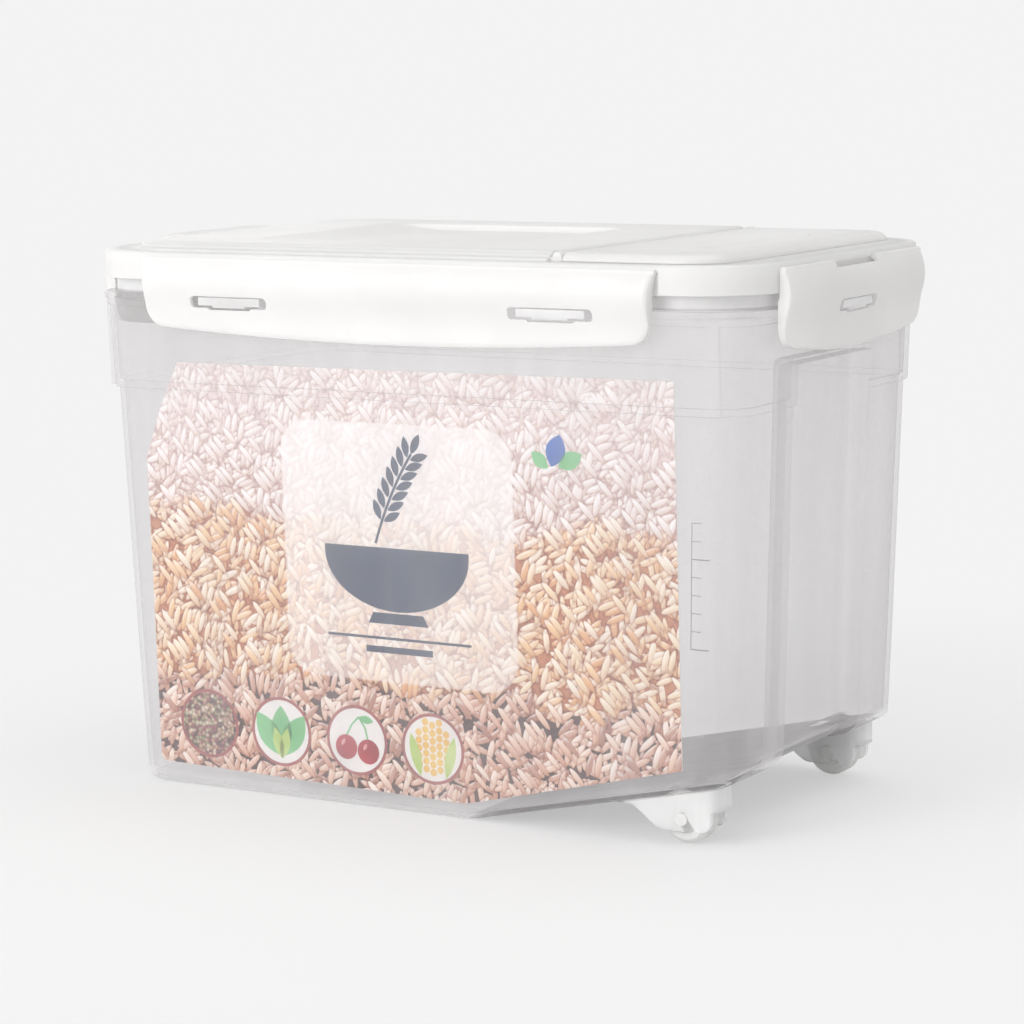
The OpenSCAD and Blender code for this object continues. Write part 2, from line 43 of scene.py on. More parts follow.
# ---------------- camera
PITCH, YAW, ROLL = (math.radians(a) for a in (8.388, 30.486, -0.807))
DISTANCE = 1.71606           # from the point that the camera looks at, in metres
ASIDE, ABOVE = 0.000753, 0.143215
LENS, SENSOR = 113.94, 36


def make_camera():
    flat = math.cos(PITCH)
    forward = Vector((-math.sin(YAW) * flat, math.cos(YAW) * flat, -math.sin(PITCH)))
    level = Vector((math.cos(YAW), math.sin(YAW), 0))
    upright = level.cross(forward)
    right = level * math.cos(ROLL) + upright * math.sin(ROLL)
    up = -level * math.sin(ROLL) + upright * math.cos(ROLL)
    data = bpy.data.cameras.new("camera")
    data.sensor_width = SENSOR
    data.lens = LENS
    data.clip_end = 60
    cam = bpy.data.objects.new("camera", data)
    m = Matrix((right, up, -forward)).transposed().to_4x4()
    m.translation = level * ASIDE + Vector((0, 0, ABOVE)) - forward * DISTANCE
    cam.matrix_world = m
    bpy.context.scene.collection.objects.link(cam)
    bpy.context.scene.camera = cam


make_camera()
bpy.context.scene.view_settings.view_transform = "Standard"


# ---------------- node trees
class Tree:
    """Short calls for building the nodes of a material or of the world."""

    def __init__(self, owner, output="OutputMaterial"):
        self.owner = owner
        owner.use_nodes = True
        self.nt = owner.node_tree
        self.nt.nodes.clear()
        self.out = self.node(output)

    def put(self, socket, value):
        if isinstance(value, bpy.types.NodeSocket):
            self.nt.links.new(value, socket)
        elif isinstance(value, tuple) and len(value) == 3 and socket.type == "RGBA":
            socket.default_value = (*value, 1)
        else:
            socket.default_value = value

    def node(self, kind, sockets=None, **props):
        n = self.nt.nodes.new("ShaderNode" + kind)
        for key, value in props.items():
            setattr(n, key, value)
        for key, value in (sockets or {}).items():
            self.put(n.inputs[key], value)
        return n

    def math(self, how, a, b=0.0, clamp=False):
        return self.node("Math", {0: a, 1: b}, operation=how, use_clamp=clamp).outputs[0]

    def plus(self, a, b):
        return self.math("ADD", a, b)

    def minus(self, a, b):
        return self.math("SUBTRACT", a, b)

    def times(self, a, b):
        return self.math("MULTIPLY", a, b)

    def most(self, a, b):
        return self.math("MAXIMUM", a, b)

    def size(self, a):
        return self.math("ABSOLUTE", a)

    def axes(self, vector):
        """The three parts of a vector or a colour."""
        return tuple(self.node("SeparateXYZ", {0: vector}).outputs)

    def vector(self, how, a, *rest):
        n = self.node("VectorMath", dict(enumerate((a, *rest))), operation=how)
        return n.outputs["Value" if how in ("LENGTH", "DOT_PRODUCT") else "Vector"]

    def mix(self, fac, a, b, blend="MIX"):
        n = self.node("Mix", data_type="RGBA", blend_type=blend)
        for i, value in ((0, fac), (6, a), (7, b)):
            self.put(n.inputs[i], value)
        return n.outputs[2]

    def shade(self, colour, tint):
        return self.mix(1.0, colour, tint, "MULTIPLY")

    def blend(self, fac, a, b):
        """One shader node turning into another."""
        return self.node("MixShader", {0: fac, 1: a.outputs[0], 2: b.outputs[0]})

    def step(self, value, low, high, least=0.0):
        """A soft step from least at low to 1 at high."""
        return self.fit(value, low, high, least, 1.0, "SMOOTHSTEP")

    def fit(self, value, low, high, to_low, to_high, how="LINEAR"):
        sockets = {0: value, 1: low, 2: high, 3: to_low, 4: to_high}
        return self.node("MapRange", sockets, interpolation_type=how).outputs[0]

    def ramp(self, value, stops):
        n = self.node("ValToRGB", {0: value})
        els = n.color_ramp.elements
        while len(els) < len(stops):
            els.new(0.5)
        for el, (pos, colour) in zip(els, stops):
            el.position = pos
            el.color = (*colour, 1)
        return n.outputs[0]

    def noise(self, vector, scale, detail=2.0, rough=0.5):
        sockets = {"Vector": vector, "Scale": scale, "Detail": detail, "Roughness": rough}
        return self.node("TexNoise", sockets).outputs[0]

    def cells(self, vector, scale, randomness):
        """The outputs of a flat cell pattern."""
        sockets = {"Vector": vector, "Scale": scale, "Randomness": randomness}
        return self.node("TexVoronoi", sockets, voronoi_dimensions="2D").outputs

    def place(self):
        """Object coordinates in mm."""
        co = self.node("TexCoord").outputs["Object"]
        return self.node("VectorMath", {0: co, 3: 1000.0}, operation="SCALE").outputs[0]

    def flat(self):
        """x and z in mm, and the point that they make on the card."""
        x, _, z = self.axes(self.place())
        return x, z, self.node("CombineXYZ", {0: x, 1: z, 2: 0.0}).outputs[0]

    def facing(self):
        return self.axes(self.node("NewGeometry").outputs["Normal"])

    def bump(self, height, strength, distance):
        sockets = {"Strength": strength, "Distance": distance, "Height": height}
        return self.node("Bump", sockets).outputs[0]

    def principled(self, colour, rough, **more):
        sockets = {"Base Color": colour, "Roughness": rough, **more}
        return self.node("BsdfPrincipled", sockets)

    def done(self, shader):
        self.nt.links.new(shader.outputs[0], self.out.inputs["Surface"])
        return self.owner


def new_material(name):
    return Tree(bpy.data.materials.new(name))


# ---------------- stage
BACKDROP = (0.896, 0.896, 0.896)
WORLD_LIGHT = 0.78
FADE_FROM, FADE_TO = 0.22, 0.7           # metres from the middle over which the floor fades to plain
FADE_LEAST = 0.5


def link(obj):
    bpy.context.scene.collection.objects.link(obj)
    return obj


def mesh_object(name, bm):
    """A new object from bm, smooth but for its clear edges."""
    mesh = bpy.data.meshes.new(name)
    bm.to_mesh(mesh)
    bm.free()
    for p in mesh.polygons:
        p.use_smooth = True
    mesh.set_sharp_from_angle(angle=math.radians(35))
    return link(bpy.data.objects.new(name, mesh))


def seen(t):
    """1 on rays that look at the background: straight, in gloss or through clear plastic."""
    path = t.node("LightPath").outputs
    return t.most(t.most(path["Is Camera Ray"], path["Is Glossy Ray"]), path["Is Transmission Ray"])


def make_stage():
    bm = bmesh.new()
    bmesh.ops.create_circle(bm, cap_ends=True, segments=96, radius=9)
    floor = mesh_object("floor", bm)
    t = new_material("stage_floor")
    lit = t.node("BsdfDiffuse", {"Color": (0.82, 0.82, 0.82)})
    plain = t.node("Emission", {"Color": BACKDROP})
    away = t.vector("LENGTH", t.node("TexCoord").outputs["Object"])
    fade = t.step(away, FADE_FROM, FADE_TO, FADE_LEAST)
    floor.data.materials.append(t.done(t.blend(t.times(fade, seen(t)), lit, plain)))

    world = bpy.data.worlds.new("studio")
    bpy.context.scene.world = world
    t = Tree(world, "OutputWorld")
    light = t.node("Background", {"Color": (1, 1, 1), "Strength": WORLD_LIGHT})
    plain = t.node("Background", {"Color": BACKDROP})
    t.done(t.blend(seen(t), light, plain))


def lamp(name, place, target, size, power):
    data = bpy.data.lights.new(name, "AREA")
    data.shape = "SQUARE"
    data.size = size
    data.energy = power
    obj = bpy.data.objects.new(name, data)
    obj.location = place
    obj.rotation_euler = (Vector(target) - Vector(place)).to_track_quat("-Z", "Y").to_euler()
    link(obj)


# ---------------- materials
DRAFT, WALL, EDGE, TOE = 0.032, 2.5, 5.0, 14.0
KNEE, SLOPE, BEND = 28.4, 0.217, 2.5     # where the ramp starts, its rise, half the length of its bend


def moulded(name, dark, light, roughness=(0.32, 0.44), through=0.45):
    """Injection-moulded plastic: a faint mottle, fine satin grain, small shine changes, and a
    little light that comes through the thin wall."""
    t = new_material(name)
    p = t.place()
    broad = t.noise(p, 0.018, 3.0, 0.55)
    fine = t.noise(p, 1.7, 3.0, 0.6)
    colour = t.mix(t.step(broad, 0.3, 0.7), dark, light)
    rough = t.fit(t.noise(p, 0.11, 4.0, 0.6), 0.3, 0.7, *roughness)
    normal = t.bump(t.plus(t.times(fine, 0.35), t.noise(p, 0.05)), 0.12, 0.0004)
    skin = t.principled(colour, rough, Normal=normal, **{"Specular IOR Level": 0.45})
    glow = t.node("BsdfTranslucent", {"Color": colour, "Normal": normal})
    return t.done(t.blend(through, skin, glow))


def clear_plastic(name):
    """Milky see-through polypropylene: hazier where it is looked through at a slant, and milkier where
    it is moulded solid and at the neck. The solid parts, the neck and the foot are tinted lighter as
    painted light that lifts their shade, and the ramp carries a streaked painted shade."""
    t = new_material(name)
    p = t.place()
    x, y, z = t.axes(p)
    slant = t.math("POWER", t.node("LayerWeight", {"Blend": 0.35}).outputs["Facing"], 2.2)
    haze = t.fit(t.noise(p, 0.012, 3.0), 0.3, 0.7, 0.10, 0.13)
    swirl = t.times(t.noise(p, 0.05, 4.0, 0.65), 0.03)
    # flow lines run up the walls
    upright = t.vector("MULTIPLY", p, (0.045, 0.045, 0.003))
    swirl = t.plus(swirl, t.fit(t.noise(upright, 1.0, 3.0, 0.55), 0.35, 0.65, 0.0, 0.07))
    # the wheel brackets hang below the ramp, the lugs stand out beyond the bead
    below = t.minus(t.times(t.minus(x, KNEE), SLOPE), z)
    solid = t.times(t.step(below, 0.0, 0.8), t.step(x, 100.0, 102.0))
    solid = t.most(solid, t.step(t.size(y), 110.4, 110.8))
    solid = t.most(solid, t.step(t.size(x), 194.0, 194.4))
    # milkier where the plastic is solid (brackets, lugs) and at the neck; the lighter tint there is also
    # painted light that lifts the shade round the brackets under the ramp and round the neck and lugs
    # under the lid's skirt
    pale_and_painted_light = t.most(solid, t.times(t.step(z, 262.5, 265.0), 0.9))
    # painted light: the bottom few mm round the foot are tinted lighter to lift the shade there near the
    # floor
    painted_foot_light = t.step(t.most(below, t.times(z, -1.0)), -9.0, -5.0)
    # painted shade: the ramp's floor is darkened and clouded in soft streaks along the length, standing
    # in for the shade and reflections on the floor inside; it is weaker on the flat floor and stops
    # short of the side walls
    ramp_shade = t.times(t.step(t.size(t.facing()[2]), 0.8, 0.95), t.step(z, 60.0, 50.0))
    ramp_shade = t.times(ramp_shade, t.fit(x, KNEE, KNEE + 2, 0.3, 1.0))
    ramp_shade = t.times(ramp_shade, t.step(t.size(y), 101.0, 98.0))
    along = t.vector("MULTIPLY", p, (0.03, 0.13, 0.13))
    streak = t.fit(t.noise(along, 1.0, 3.0, 0.7), 0.35, 0.65, 0.35, 0.75)
    cover = t.plus(t.plus(haze, swirl), t.times(slant, 0.5))
    cover = t.plus(cover, t.times(pale_and_painted_light, 0.5))
    cover = t.math("ADD", cover, t.times(ramp_shade, streak), clamp=True)
    colour = t.mix(t.noise(p, 0.02), (0.742, 0.730, 0.738), (0.795, 0.783, 0.790))
    # tints in turn: darker at a slant, painted light at the foot, milky white with painted light on the
    # solid parts and neck, painted dark shade on the ramp
    for share, where, tint in ((0.6, slant, (0.52, 0.50, 0.51)), (0.85, painted_foot_light, (0.96, 0.955, 0.955)),
                               (0.9, pale_and_painted_light, (0.98, 0.98, 0.98)), (0.9, ramp_shade, (0.30, 0.29, 0.30))):
        colour = t.mix(t.times(where, share), colour, tint)
    rough = t.fit(t.noise(p, 0.09, 4.0, 0.6), 0.3, 0.7, 0.14, 0.26)
    normal = t.bump(t.plus(t.noise(p, 0.03, 1.0), t.times(t.noise(p, 1.4), 0.02)), 0.04, 0.0005)
    skin = t.principled(colour, rough, Normal=normal, IOR=1.5)
    glow = t.node("BsdfTranslucent", {"Color": colour, "Normal": normal})
    body = t.blend(0.35, skin, glow)
    clear = t.node("BsdfTransparent", {"Color": (0.985, 0.981, 0.983)})
    return t.done(t.blend(cover, clear, body))


GRAIN_CELL = (16.0, 4.3)     # mm of card for one grain, along and across it
# each layer's turn in radians, its shift in cells and the share of its cells that hold a grain
GRAIN_LAYERS = [(0.35, 3.1, 0.8), (1.45, 17.7, 0.75), (2.4, 31.3, 0.65), (-0.4, 47.9, 0.55),
                (1.85, 59.1, 0.5), (0.85, 71.7, 0.45)]
GRAIN_LIGHT = (-0.45, 0.9, 0)


def grains(t, p, under, layer, tone):
    """One layer of scattered grains over the colour under. tone(centre, random) colours them."""
    turn, shift, keep = layer
    wide, high = GRAIN_CELL
    spun = t.node("VectorRotate", {"Vector": p, "Angle": turn}, rotation_type="Z_AXIS").outputs[0]
    m = t.node("Mapping", {"Vector": spun, "Location": (shift, shift * 1.7, 0),
                           "Scale": (1 / wide, 1 / high, 1)}, vector_type="POINT").outputs[0]
    cells = t.cells(m, 1.0, 0.55)
    seat = cells["Position"]
    there, plump, pick = t.axes(cells["Color"])
    there = t.math("LESS_THAN", there, keep)
    reach = t.math("DIVIDE", cells["Distance"], t.fit(plump, 0.0, 1.0, 0.35, 0.44))
    mask = t.times(t.step(reach, 1.0, 0.93), there)
    shadow = t.times(t.step(reach, 1.6, 0.95), there)
    sun = Vector(GRAIN_LIGHT)
    sun.rotate(Matrix.Rotation(turn, 3, "Z"))
    lit = t.vector("DOT_PRODUCT", t.vector("SUBTRACT", m, seat), tuple(sun))
    back = t.vector("MULTIPLY", seat, (wide, high, 1))
    back = t.vector("SUBTRACT", back, (shift * wide, shift * 1.7 * high, 0))
    centre = t.node("VectorRotate", {"Vector": back, "Angle": -turn}, rotation_type="Z_AXIS").outputs[0]
    colour = tone(centre, pick)
    colour = t.mix(t.step(lit, -0.4, 0.25), t.shade(colour, (0.80, 0.66, 0.58)), colour)
    colour = t.mix(t.step(reach, 0.7, 1.0), colour, t.shade(colour, (0.78, 0.62, 0.54)))
    colour = t.mix(t.times(t.step(lit, 0.10, 0.30), 0.5), colour, (1.0, 0.97, 0.92))
    under = t.mix(t.times(shadow, 0.7), under, t.shade(under, (0.60, 0.38, 0.32)))
    return t.mix(mask, under, colour)


WHITE_GRAIN = [(0.0, (0.86, 0.76, 0.74)), (0.3, (0.94, 0.89, 0.88)), (1.0, (0.98, 0.965, 0.97))]
GOLD_GRAIN = [(0.0, (0.86, 0.50, 0.25)), (0.25, (0.94, 0.68, 0.40)), (0.6, (0.98, 0.85, 0.64)),
              (1.0, (0.99, 0.94, 0.84))]
BROWN_GRAIN = [(0.0, (0.48, 0.25, 0.20)), (0.3, (0.79, 0.52, 0.41)), (0.65, (0.94, 0.74, 0.61)),
               (1.0, (0.99, 0.91, 0.85))]
WHITE_GROUND, GOLD_GROUND, BROWN_GROUND = (0.77, 0.60, 0.57), (0.56, 0.22, 0.10), (0.07, 0.025, 0.03)
PANEL_X, PANEL_Z, PANEL_HALF_LEN, PANEL_HALF_HIGH = -9.0, 134.0, 52.0, 50.0


def printed_sheet(name):
    """A glossy card with a print of loose grains in three bands: white, golden and brown."""
    t = new_material(name)
    x, z, flat = t.flat()
    sway = t.node("TexNoise", {"Vector": flat, "Scale": 0.011, "Detail": 1.0}).outputs["Color"]
    sway = t.vector("SUBTRACT", sway, (0.5, 0.5, 0.5))
    p = t.vector("MULTIPLY_ADD", sway, (8.0, 8.0, 0.0), flat)

    def bands(centre):
        level = t.plus(t.axes(centre)[1], t.times(t.noise(centre, 0.022, 1.0), 26.0))
        return t.step(level, 163.0, 167.0), t.step(level, 74.0, 79.0)

    def tone(centre, pick):
        top, middle = bands(centre)
        white, gold, brown = (t.ramp(pick, stops) for stops in (WHITE_GRAIN, GOLD_GRAIN, BROWN_GRAIN))
        return t.mix(top, t.mix(middle, brown, gold), white)

    top, middle = bands(flat)
    colour = t.mix(top, t.mix(middle, BROWN_GROUND, GOLD_GROUND), WHITE_GROUND)
    for layer in GRAIN_LAYERS:
        colour = grains(t, p, colour, layer, tone)
    # a pale rounded panel behind the motif, where the print is washed out
    dx = t.most(t.minus(t.size(t.minus(x, PANEL_X)), PANEL_HALF_LEN), 0.0)
    dz = t.most(t.minus(t.size(t.minus(z, PANEL_Z)), PANEL_HALF_HIGH), 0.0)
    off = t.math("SQRT", t.plus(t.times(dx, dx), t.times(dz, dz)))
    panel = t.times(t.step(off, 17.4, 16.0), t.fit(z, 90.0, 170.0, 0.45, 0.72))
    colour = t.mix(panel, colour, (0.97, 0.945, 0.93))
    colour = t.mix(t.times(t.step(z, 120.0, 230.0), 0.45), colour, (0.96, 0.935, 0.94))
    # the back of the card is bare
    paper = t.mix(t.noise(flat, 0.9, 3.0), (0.82, 0.81, 0.79), (0.88, 0.87, 0.85))
    colour = t.mix(t.math("GREATER_THAN", t.facing()[1], -0.5), colour, paper)
    rough = t.fit(t.noise(flat, 0.2, 3.0), 0.3, 0.7, 0.3, 0.45)
    normal = t.bump(t.noise(flat, 0.03, 1.0), 0.2, 0.0015)
    return t.done(t.principled(colour, rough, Normal=normal))


def ink(name, dark, light):
    """Printing ink with a slightly uneven lay-down."""
    t = new_material(name)
    p = t.place()
    colour = t.mix(t.step(t.noise(p, 0.06), 0.3, 0.7), dark, light)
    rough = t.fit(t.noise(p, 1.2, 3.0), 0.3, 0.7, 0.32, 0.48)
    return t.done(t.principled(colour, rough))


def speckled(name, stops, cell):
    """Round seeds seen from above, one colour per seed."""
    t = new_material(name)
    flat = t.flat()[2]
    seeds = t.cells(flat, 1 / cell, 0.9)
    colour = t.ramp(t.axes(seeds["Color"])[0], stops)
    edge = t.step(seeds["Distance"], 0.32, 0.6)
    colour = t.mix(edge, colour, t.shade(colour, (0.45, 0.4, 0.38)))
    rough = t.fit(edge, 0.0, 1.0, 0.3, 0.5)
    return t.done(t.principled(colour, rough))


# ---------------- mesh helpers
ARC = 10                                 # segments in a rounded corner
FLAT = [i / 8 for i in range(1, 8)]      # where the straight run between two corners is divided
HARD_EDGE = math.radians(40)             # a prism's edges sharper than this are bevelled


def new_verts(bm, points):
    """Vertices at points (x, y, z) given in mm."""
    return [bm.verts.new((x * MM, y * MM, z * MM)) for x, y, z in points]


def skin(bm, loops):
    """Faces between closed loops that all have the same count of vertices."""
    for a, b in zip(loops, loops[1:]):
        for i in range(len(a)):
            j = (i + 1) % len(a)
            bm.faces.new((a[i], a[j], b[j], b[i]))


def solid(name, bm):
    bmesh.ops.recalc_face_normals(bm, faces=bm.faces)
    return mesh_object(name, bm)


def arc(x, y, r, start, steps):
    """A quarter turn of points about (x, y), from start half turns on."""
    angles = [math.pi * (start + i / steps / 2) for i in range(steps + 1)]
    return [(x + r * math.cos(a), y + r * math.sin(a)) for a in angles]


def chain(x0, x1, b, r0, r1, xs=None):
    """The front half of a rounded rectangle seen from above, from left to right, in mm."""
    r0, r1 = max(r0, 0.05), max(r1, 0.05)
    left, right = x0 + r0, x1 - r1
    xs = xs or [left + (right - left) * f for f in FLAT]
    return arc(left, -(b - r0), r0, 1, ARC) + [(x, -b) for x in xs] + arc(right, -(b - r1), r1, 1.5, ARC)


def ring(half):
    """A closed loop from its front half, mirrored to the rear."""
    return half + [(p[0], -p[1], *p[2:]) for p in reversed(half)]


def level(half, z):
    """A closed loop at height z from its front half."""
    return [(x, y, z) for x, y in ring(half)]


def loft(name, rings):
    """A solid skinned over loops that all have the same count of points (x, y, z) in mm."""
    bm = bmesh.new()
    loops = [new_verts(bm, r) for r in rings]
    skin(bm, loops)
    for loop in (loops[0], loops[-1]):
        m = len(loop) // 2
        low, high = loop[:m], loop[m:][::-1]
        for i in range(m - 1):
            bm.faces.new((low[i], low[i + 1], high[i + 1], high[i]))
    return solid(name, bm)


def slab(name, x0, x1, b, r0, r1, profile):
    """A rounded block: profile is a list of (inset, z)."""
    return loft(name, [level(chain(x0 + i, x1 - i, b - i, r0 - i, r1 - i), z) for i, z in profile])


def prism(name, outline, d0, d1, axes="xzy", bevel=0.0):
    """An outline (u, v) extruded from d0 to d1. axes says which axes u, v and d are."""
    bm = bmesh.new()
    ends = []
    for d in (d0, d1):
        spots = [dict(zip(axes, (u, v, d))) for u, v in outline]
        ends.append(new_verts(bm, [(s["x"], s["y"], s["z"]) for s in spots]))
    skin(bm, ends)
    for end in ends:
        bm.faces.new(end)
    bmesh.ops.recalc_face_normals(bm, faces=bm.faces)
    if bevel:
        hard = [e for e in bm.edges if len(e.link_faces) == 2 and e.calc_face_angle() > HARD_EDGE]
        bmesh.ops.bevel(bm, geom=hard, offset=bevel * MM, segments=2, profile=0.5, affect="EDGES")
    return mesh_object(name, bm)


def block(name, lo, hi, bevel=0.0):
    outline = [(lo[0], lo[2]), (hi[0], lo[2]), (hi[0], hi[2]), (lo[0], hi[2])]
    return prism(name, outline, lo[1], hi[1], bevel=bevel)


def rod(name, axis, centre, r, d0, d1, sides=40, edge=0.0):
    """A round bar along x, y or z through centre, with softened ends."""
    k = "xyz".index(axis)
    u, v = [i for i in range(3) if i != k]
    profile = [(r, d0), (r, d1)]
    if edge:
        profile = [(r - edge, d0), (r, d0 + edge), (r, d1 - edge), (r - edge, d1)]
    bm = bmesh.new()
    loops = []
    for radius, d in profile:
        points = []
        for i in range(sides):
            a = 2 * math.pi * i / sides
            co = [d, d, d]
            co[u] = centre[u] + radius * math.cos(a)
            co[v] = centre[v] + radius * math.sin(a)
            points.append(co)
        loops.append(new_verts(bm, points))
    skin(bm, loops)
    bm.faces.new(loops[0])
    bm.faces.new(loops[-1])
    return solid(name, bm)


def combine(obj, others, how="UNION"):
    """Booleans the others into obj, for good, and removes them."""
    for other in others:
        mod = obj.modifiers.new("join", "BOOLEAN")
        mod.operation = how
        mod.object = other
        mod.solver = "EXACT"
        deps = bpy.context.evaluated_depsgraph_get()
        mesh = bpy.data.meshes.new_from_object(obj.evaluated_get(deps))
        obj.modifiers.clear()
        obj.data = mesh
        bpy.data.objects.remove(other)
    return obj


def carve(obj, others):
    return combine(obj, others, "DIFFERENCE")


def mirrored(obj, name):
    """A copy of obj mirrored to the far side, with its faces turned right way out."""
    bm = bmesh.new()
    bm.from_mesh(obj.data)
    for v in bm.verts:
        v.co.y = -v.co.y
    bmesh.ops.reverse_faces(bm, faces=bm.faces)
    return mesh_object(name, bm)


def moved(obj, shift, turn=0, axis="Z"):
    """Turns obj's mesh by degrees about an axis, then shifts it (in metres)."""
    obj.data.transform(Matrix.Translation(shift) @ Matrix.Rotation(math.radians(turn), 4, axis))
    return obj


def dress(obj, name, material):
    obj.name = obj.data.name = name
    obj.data.materials.clear()
    obj.data.materials.append(material)


def finish_mesh(obj, name, material):
    """Names a finished piece, cleans its mesh, shades it and gives it its material."""
    bm = bmesh.new()
    bm.from_mesh(obj.data)
    bmesh.ops.remove_doubles(bm, verts=bm.verts, dist=2e-6)
    bmesh.ops.dissolve_degenerate(bm, dist=1e-6, edges=bm.edges)
    loose = [v for v in bm.verts if not v.link_faces]
    bmesh.ops.delete(bm, geom=loose, context="VERTS")
    bm.to_mesh(obj.data)
    bm.free()
    dress(obj, name, material)
    for p in obj.data.polygons:
        p.use_smooth = True
    obj.data.set_sharp_from_angle(angle=math.radians(32))
    mod = obj.modifiers.new("normals", "WEIGHTED_NORMAL")
    mod.keep_sharp = True
    mod.weight = 80


# ---------------- tub
FOOT_LEN, FOOT_WID, CORNER = 180, 96.5, 20           # half the size at the floor, before the draft
SHOULDER, NECK = 216, 258                            # heights where the band and the neck begin
WHEEL_X, WHEEL_Y, WHEEL_Z = 149.6, 83.4, 13.8
LOCK_X = -1.5                                        # middle of the long locks along the length
LUG_X = 94                                           # their lugs stand this far to either side of it
TUB_XS = [-120, -70, -20, 10, 22, 25.9, 27.2, 28.4, 29.6, 30.9, 35, 50, 80, 110, 140]


def half_len(z):
    return FOOT_LEN + DRAFT * z


def half_wid(z):
    return FOOT_WID + DRAFT * z


def under(x):
    """Height of the outer underside at x: flat, a small bend, then the ramp."""
    d = x - KNEE
    if d <= -BEND:
        return 0.0
    if d < BEND:
        return SLOPE * (d + BEND) ** 2 / (4 * BEND)
    return SLOPE * d


def tub_solid(name, t, top):
    """The tub below height top as a solid, inset by t all round."""
    edge = EDGE - t
    high = under(half_len(4 * EDGE))

    def loop(x0, x1, z0, inset, height):
        """A loop drawn at height z0, whose sides then follow the draft at each point's own height."""
        half = chain(x0, x1, half_wid(z0) - inset, CORNER - inset, CORNER - inset, TUB_XS)
        row = []
        for x, y in half:
            z = height(x)
            row.append((x, y * (half_wid(z) - inset) / (half_wid(z0) - inset), z))
        return ring(row)

    rings = []
    steps = 7
    for i in range(steps + 1):
        a = -math.pi / 2 * (1 - i / steps)
        inset = t + edge * (1 - math.cos(a))
        h = t + edge * (1 + math.sin(a))
        x0, x1 = -half_len(h) + inset, half_len(h + high) - inset
        rings.append(loop(x0, x1, h, inset, lambda x: under(x) + h))
    for k in (0.25, 0.5, 0.75, 1.0):
        x0 = -half_len(EDGE * (1 - k) + top * k) + t
        x1 = half_len((EDGE + high) * (1 - k) + top * k) - t
        rings.append(loop(x0, x1, top, t, lambda x: (under(x) + EDGE) * (1 - k) + top * k))
    return loft(name, rings)


def band_rings(profile):
    """Loops that follow the drafted wall: profile is a list of (outward offset, z)."""
    return [level(chain(-half_len(z) - d, half_len(z) + d, half_wid(z) + d, CORNER + d, CORNER + d), z)
            for d, z in profile]


def leaning_panel(long_side):
    """One flat panel of the shoulder band, on the front wall or the left end."""
    z0, z1, out, thick = 213, 257.5, 2.8, 5
    base, half, axes = (half_wid, 177.3, "yzx") if long_side else (half_len, 93.8, "xzy")
    outline = [(-base(z0) - out, z0), (-base(z1) - out, z1), (-base(z1) - out + thick, z1),
               (-base(z0) - out + thick, z0)]
    return prism("panel", outline, -half, half, axes, 0.45)


def lug(half, base, tip):
    """A catch lug on the front wall, with the small nub under its middle."""
    body = block("lug", (-half, -tip, 258.6), (half, -base, 262.8), 0.5)
    nub = block("nub", (-10, -tip + 0.1, 257.6), (10, -base, 259.6), 0.4)
    return combine(body, [nub])


def bracket():
    """The bracket that carries the near wheel."""
    x = WHEEL_X - 36
    curve = []
    for i in range(17):                  # the swept lower edge, from the underside down to the cheek
        k = i / 16
        ease = k * k * (3 - 2 * k)
        curve.append((x + 6 + 20 * k, 18.5 + (7.4 - 18.5) * ease))
    outline = [(x, 18.6), *curve, (x + 45, 7.4), (x + 48, 8.0), (x + 50, 9.6), (x + 51.1, 12.2),
               (x + 51.3, 17.8), (x + 51.6, 18.2), (x + 55.7, 18.2), (x + 55.7, 46), (x + 20, 34)]
    side = prism("bracket", outline, -93.9, -72.9, bevel=0.35)
    shift = (0, -WHEEL_Y * MM, 0)
    outer = moved(slab("outer", x - 20, x + 55.7, 10.5, 7, 7, [(0, 0), (0, 60)]), shift)
    inner = moved(slab("inner", x - 40, x + 52.7, 7.5, 4, 4, [(0, -1), (0, 61)]), shift)
    combine(side, [outer], "INTERSECT")
    bore = rod("bore", "y", (WHEEL_X, 0, WHEEL_Z), 3.15, -110, -60)
    slot = block("slot", (0, -110, -2.5), (18, -60, 2.5))
    moved(slot, (WHEEL_X * MM, 0, WHEEL_Z * MM), 50, "Y")
    return carve(side, [inner, bore, slot])


def recess(grow, out):
    """What the recess in the right end wall takes away, with its sides moved out by grow."""
    profile = [(0, -20), (0, 120), (0, 230.5 + grow), (0.5, 232 + grow), (1.6, 233 + grow),
               (3, 233.5 + grow)]
    return loft("recess", [level(chain(half_len(z) - 10 - grow + i, out, 45 + grow - i, 4 + grow, 4), z)
                           for i, z in profile])


def toe(wall, grow, half):
    """What the round edge under an end wall at wall cuts away, drawn in by grow."""
    x = wall - TOE
    z = SLOPE * (x - KNEE) + TOE * math.hypot(1, SLOPE)
    r = TOE - grow
    turns = (math.pi / 2 * i / 16 for i in range(17))
    curve = [(x + r * math.sin(a), z - r * math.cos(a)) for a in turns]
    return prism("toe", [(x, 5), *curve, (240, z), (240, 5)], -half, half)


def arches(r, width):
    """What the two wheel arches take away."""
    out = []
    for s in (-1, 1):
        y = s * WHEEL_Y
        out.append(rod("arch", "y", (WHEEL_X, 0, WHEEL_Z), r, y - width / 2, y + width / 2, 48))
    return out


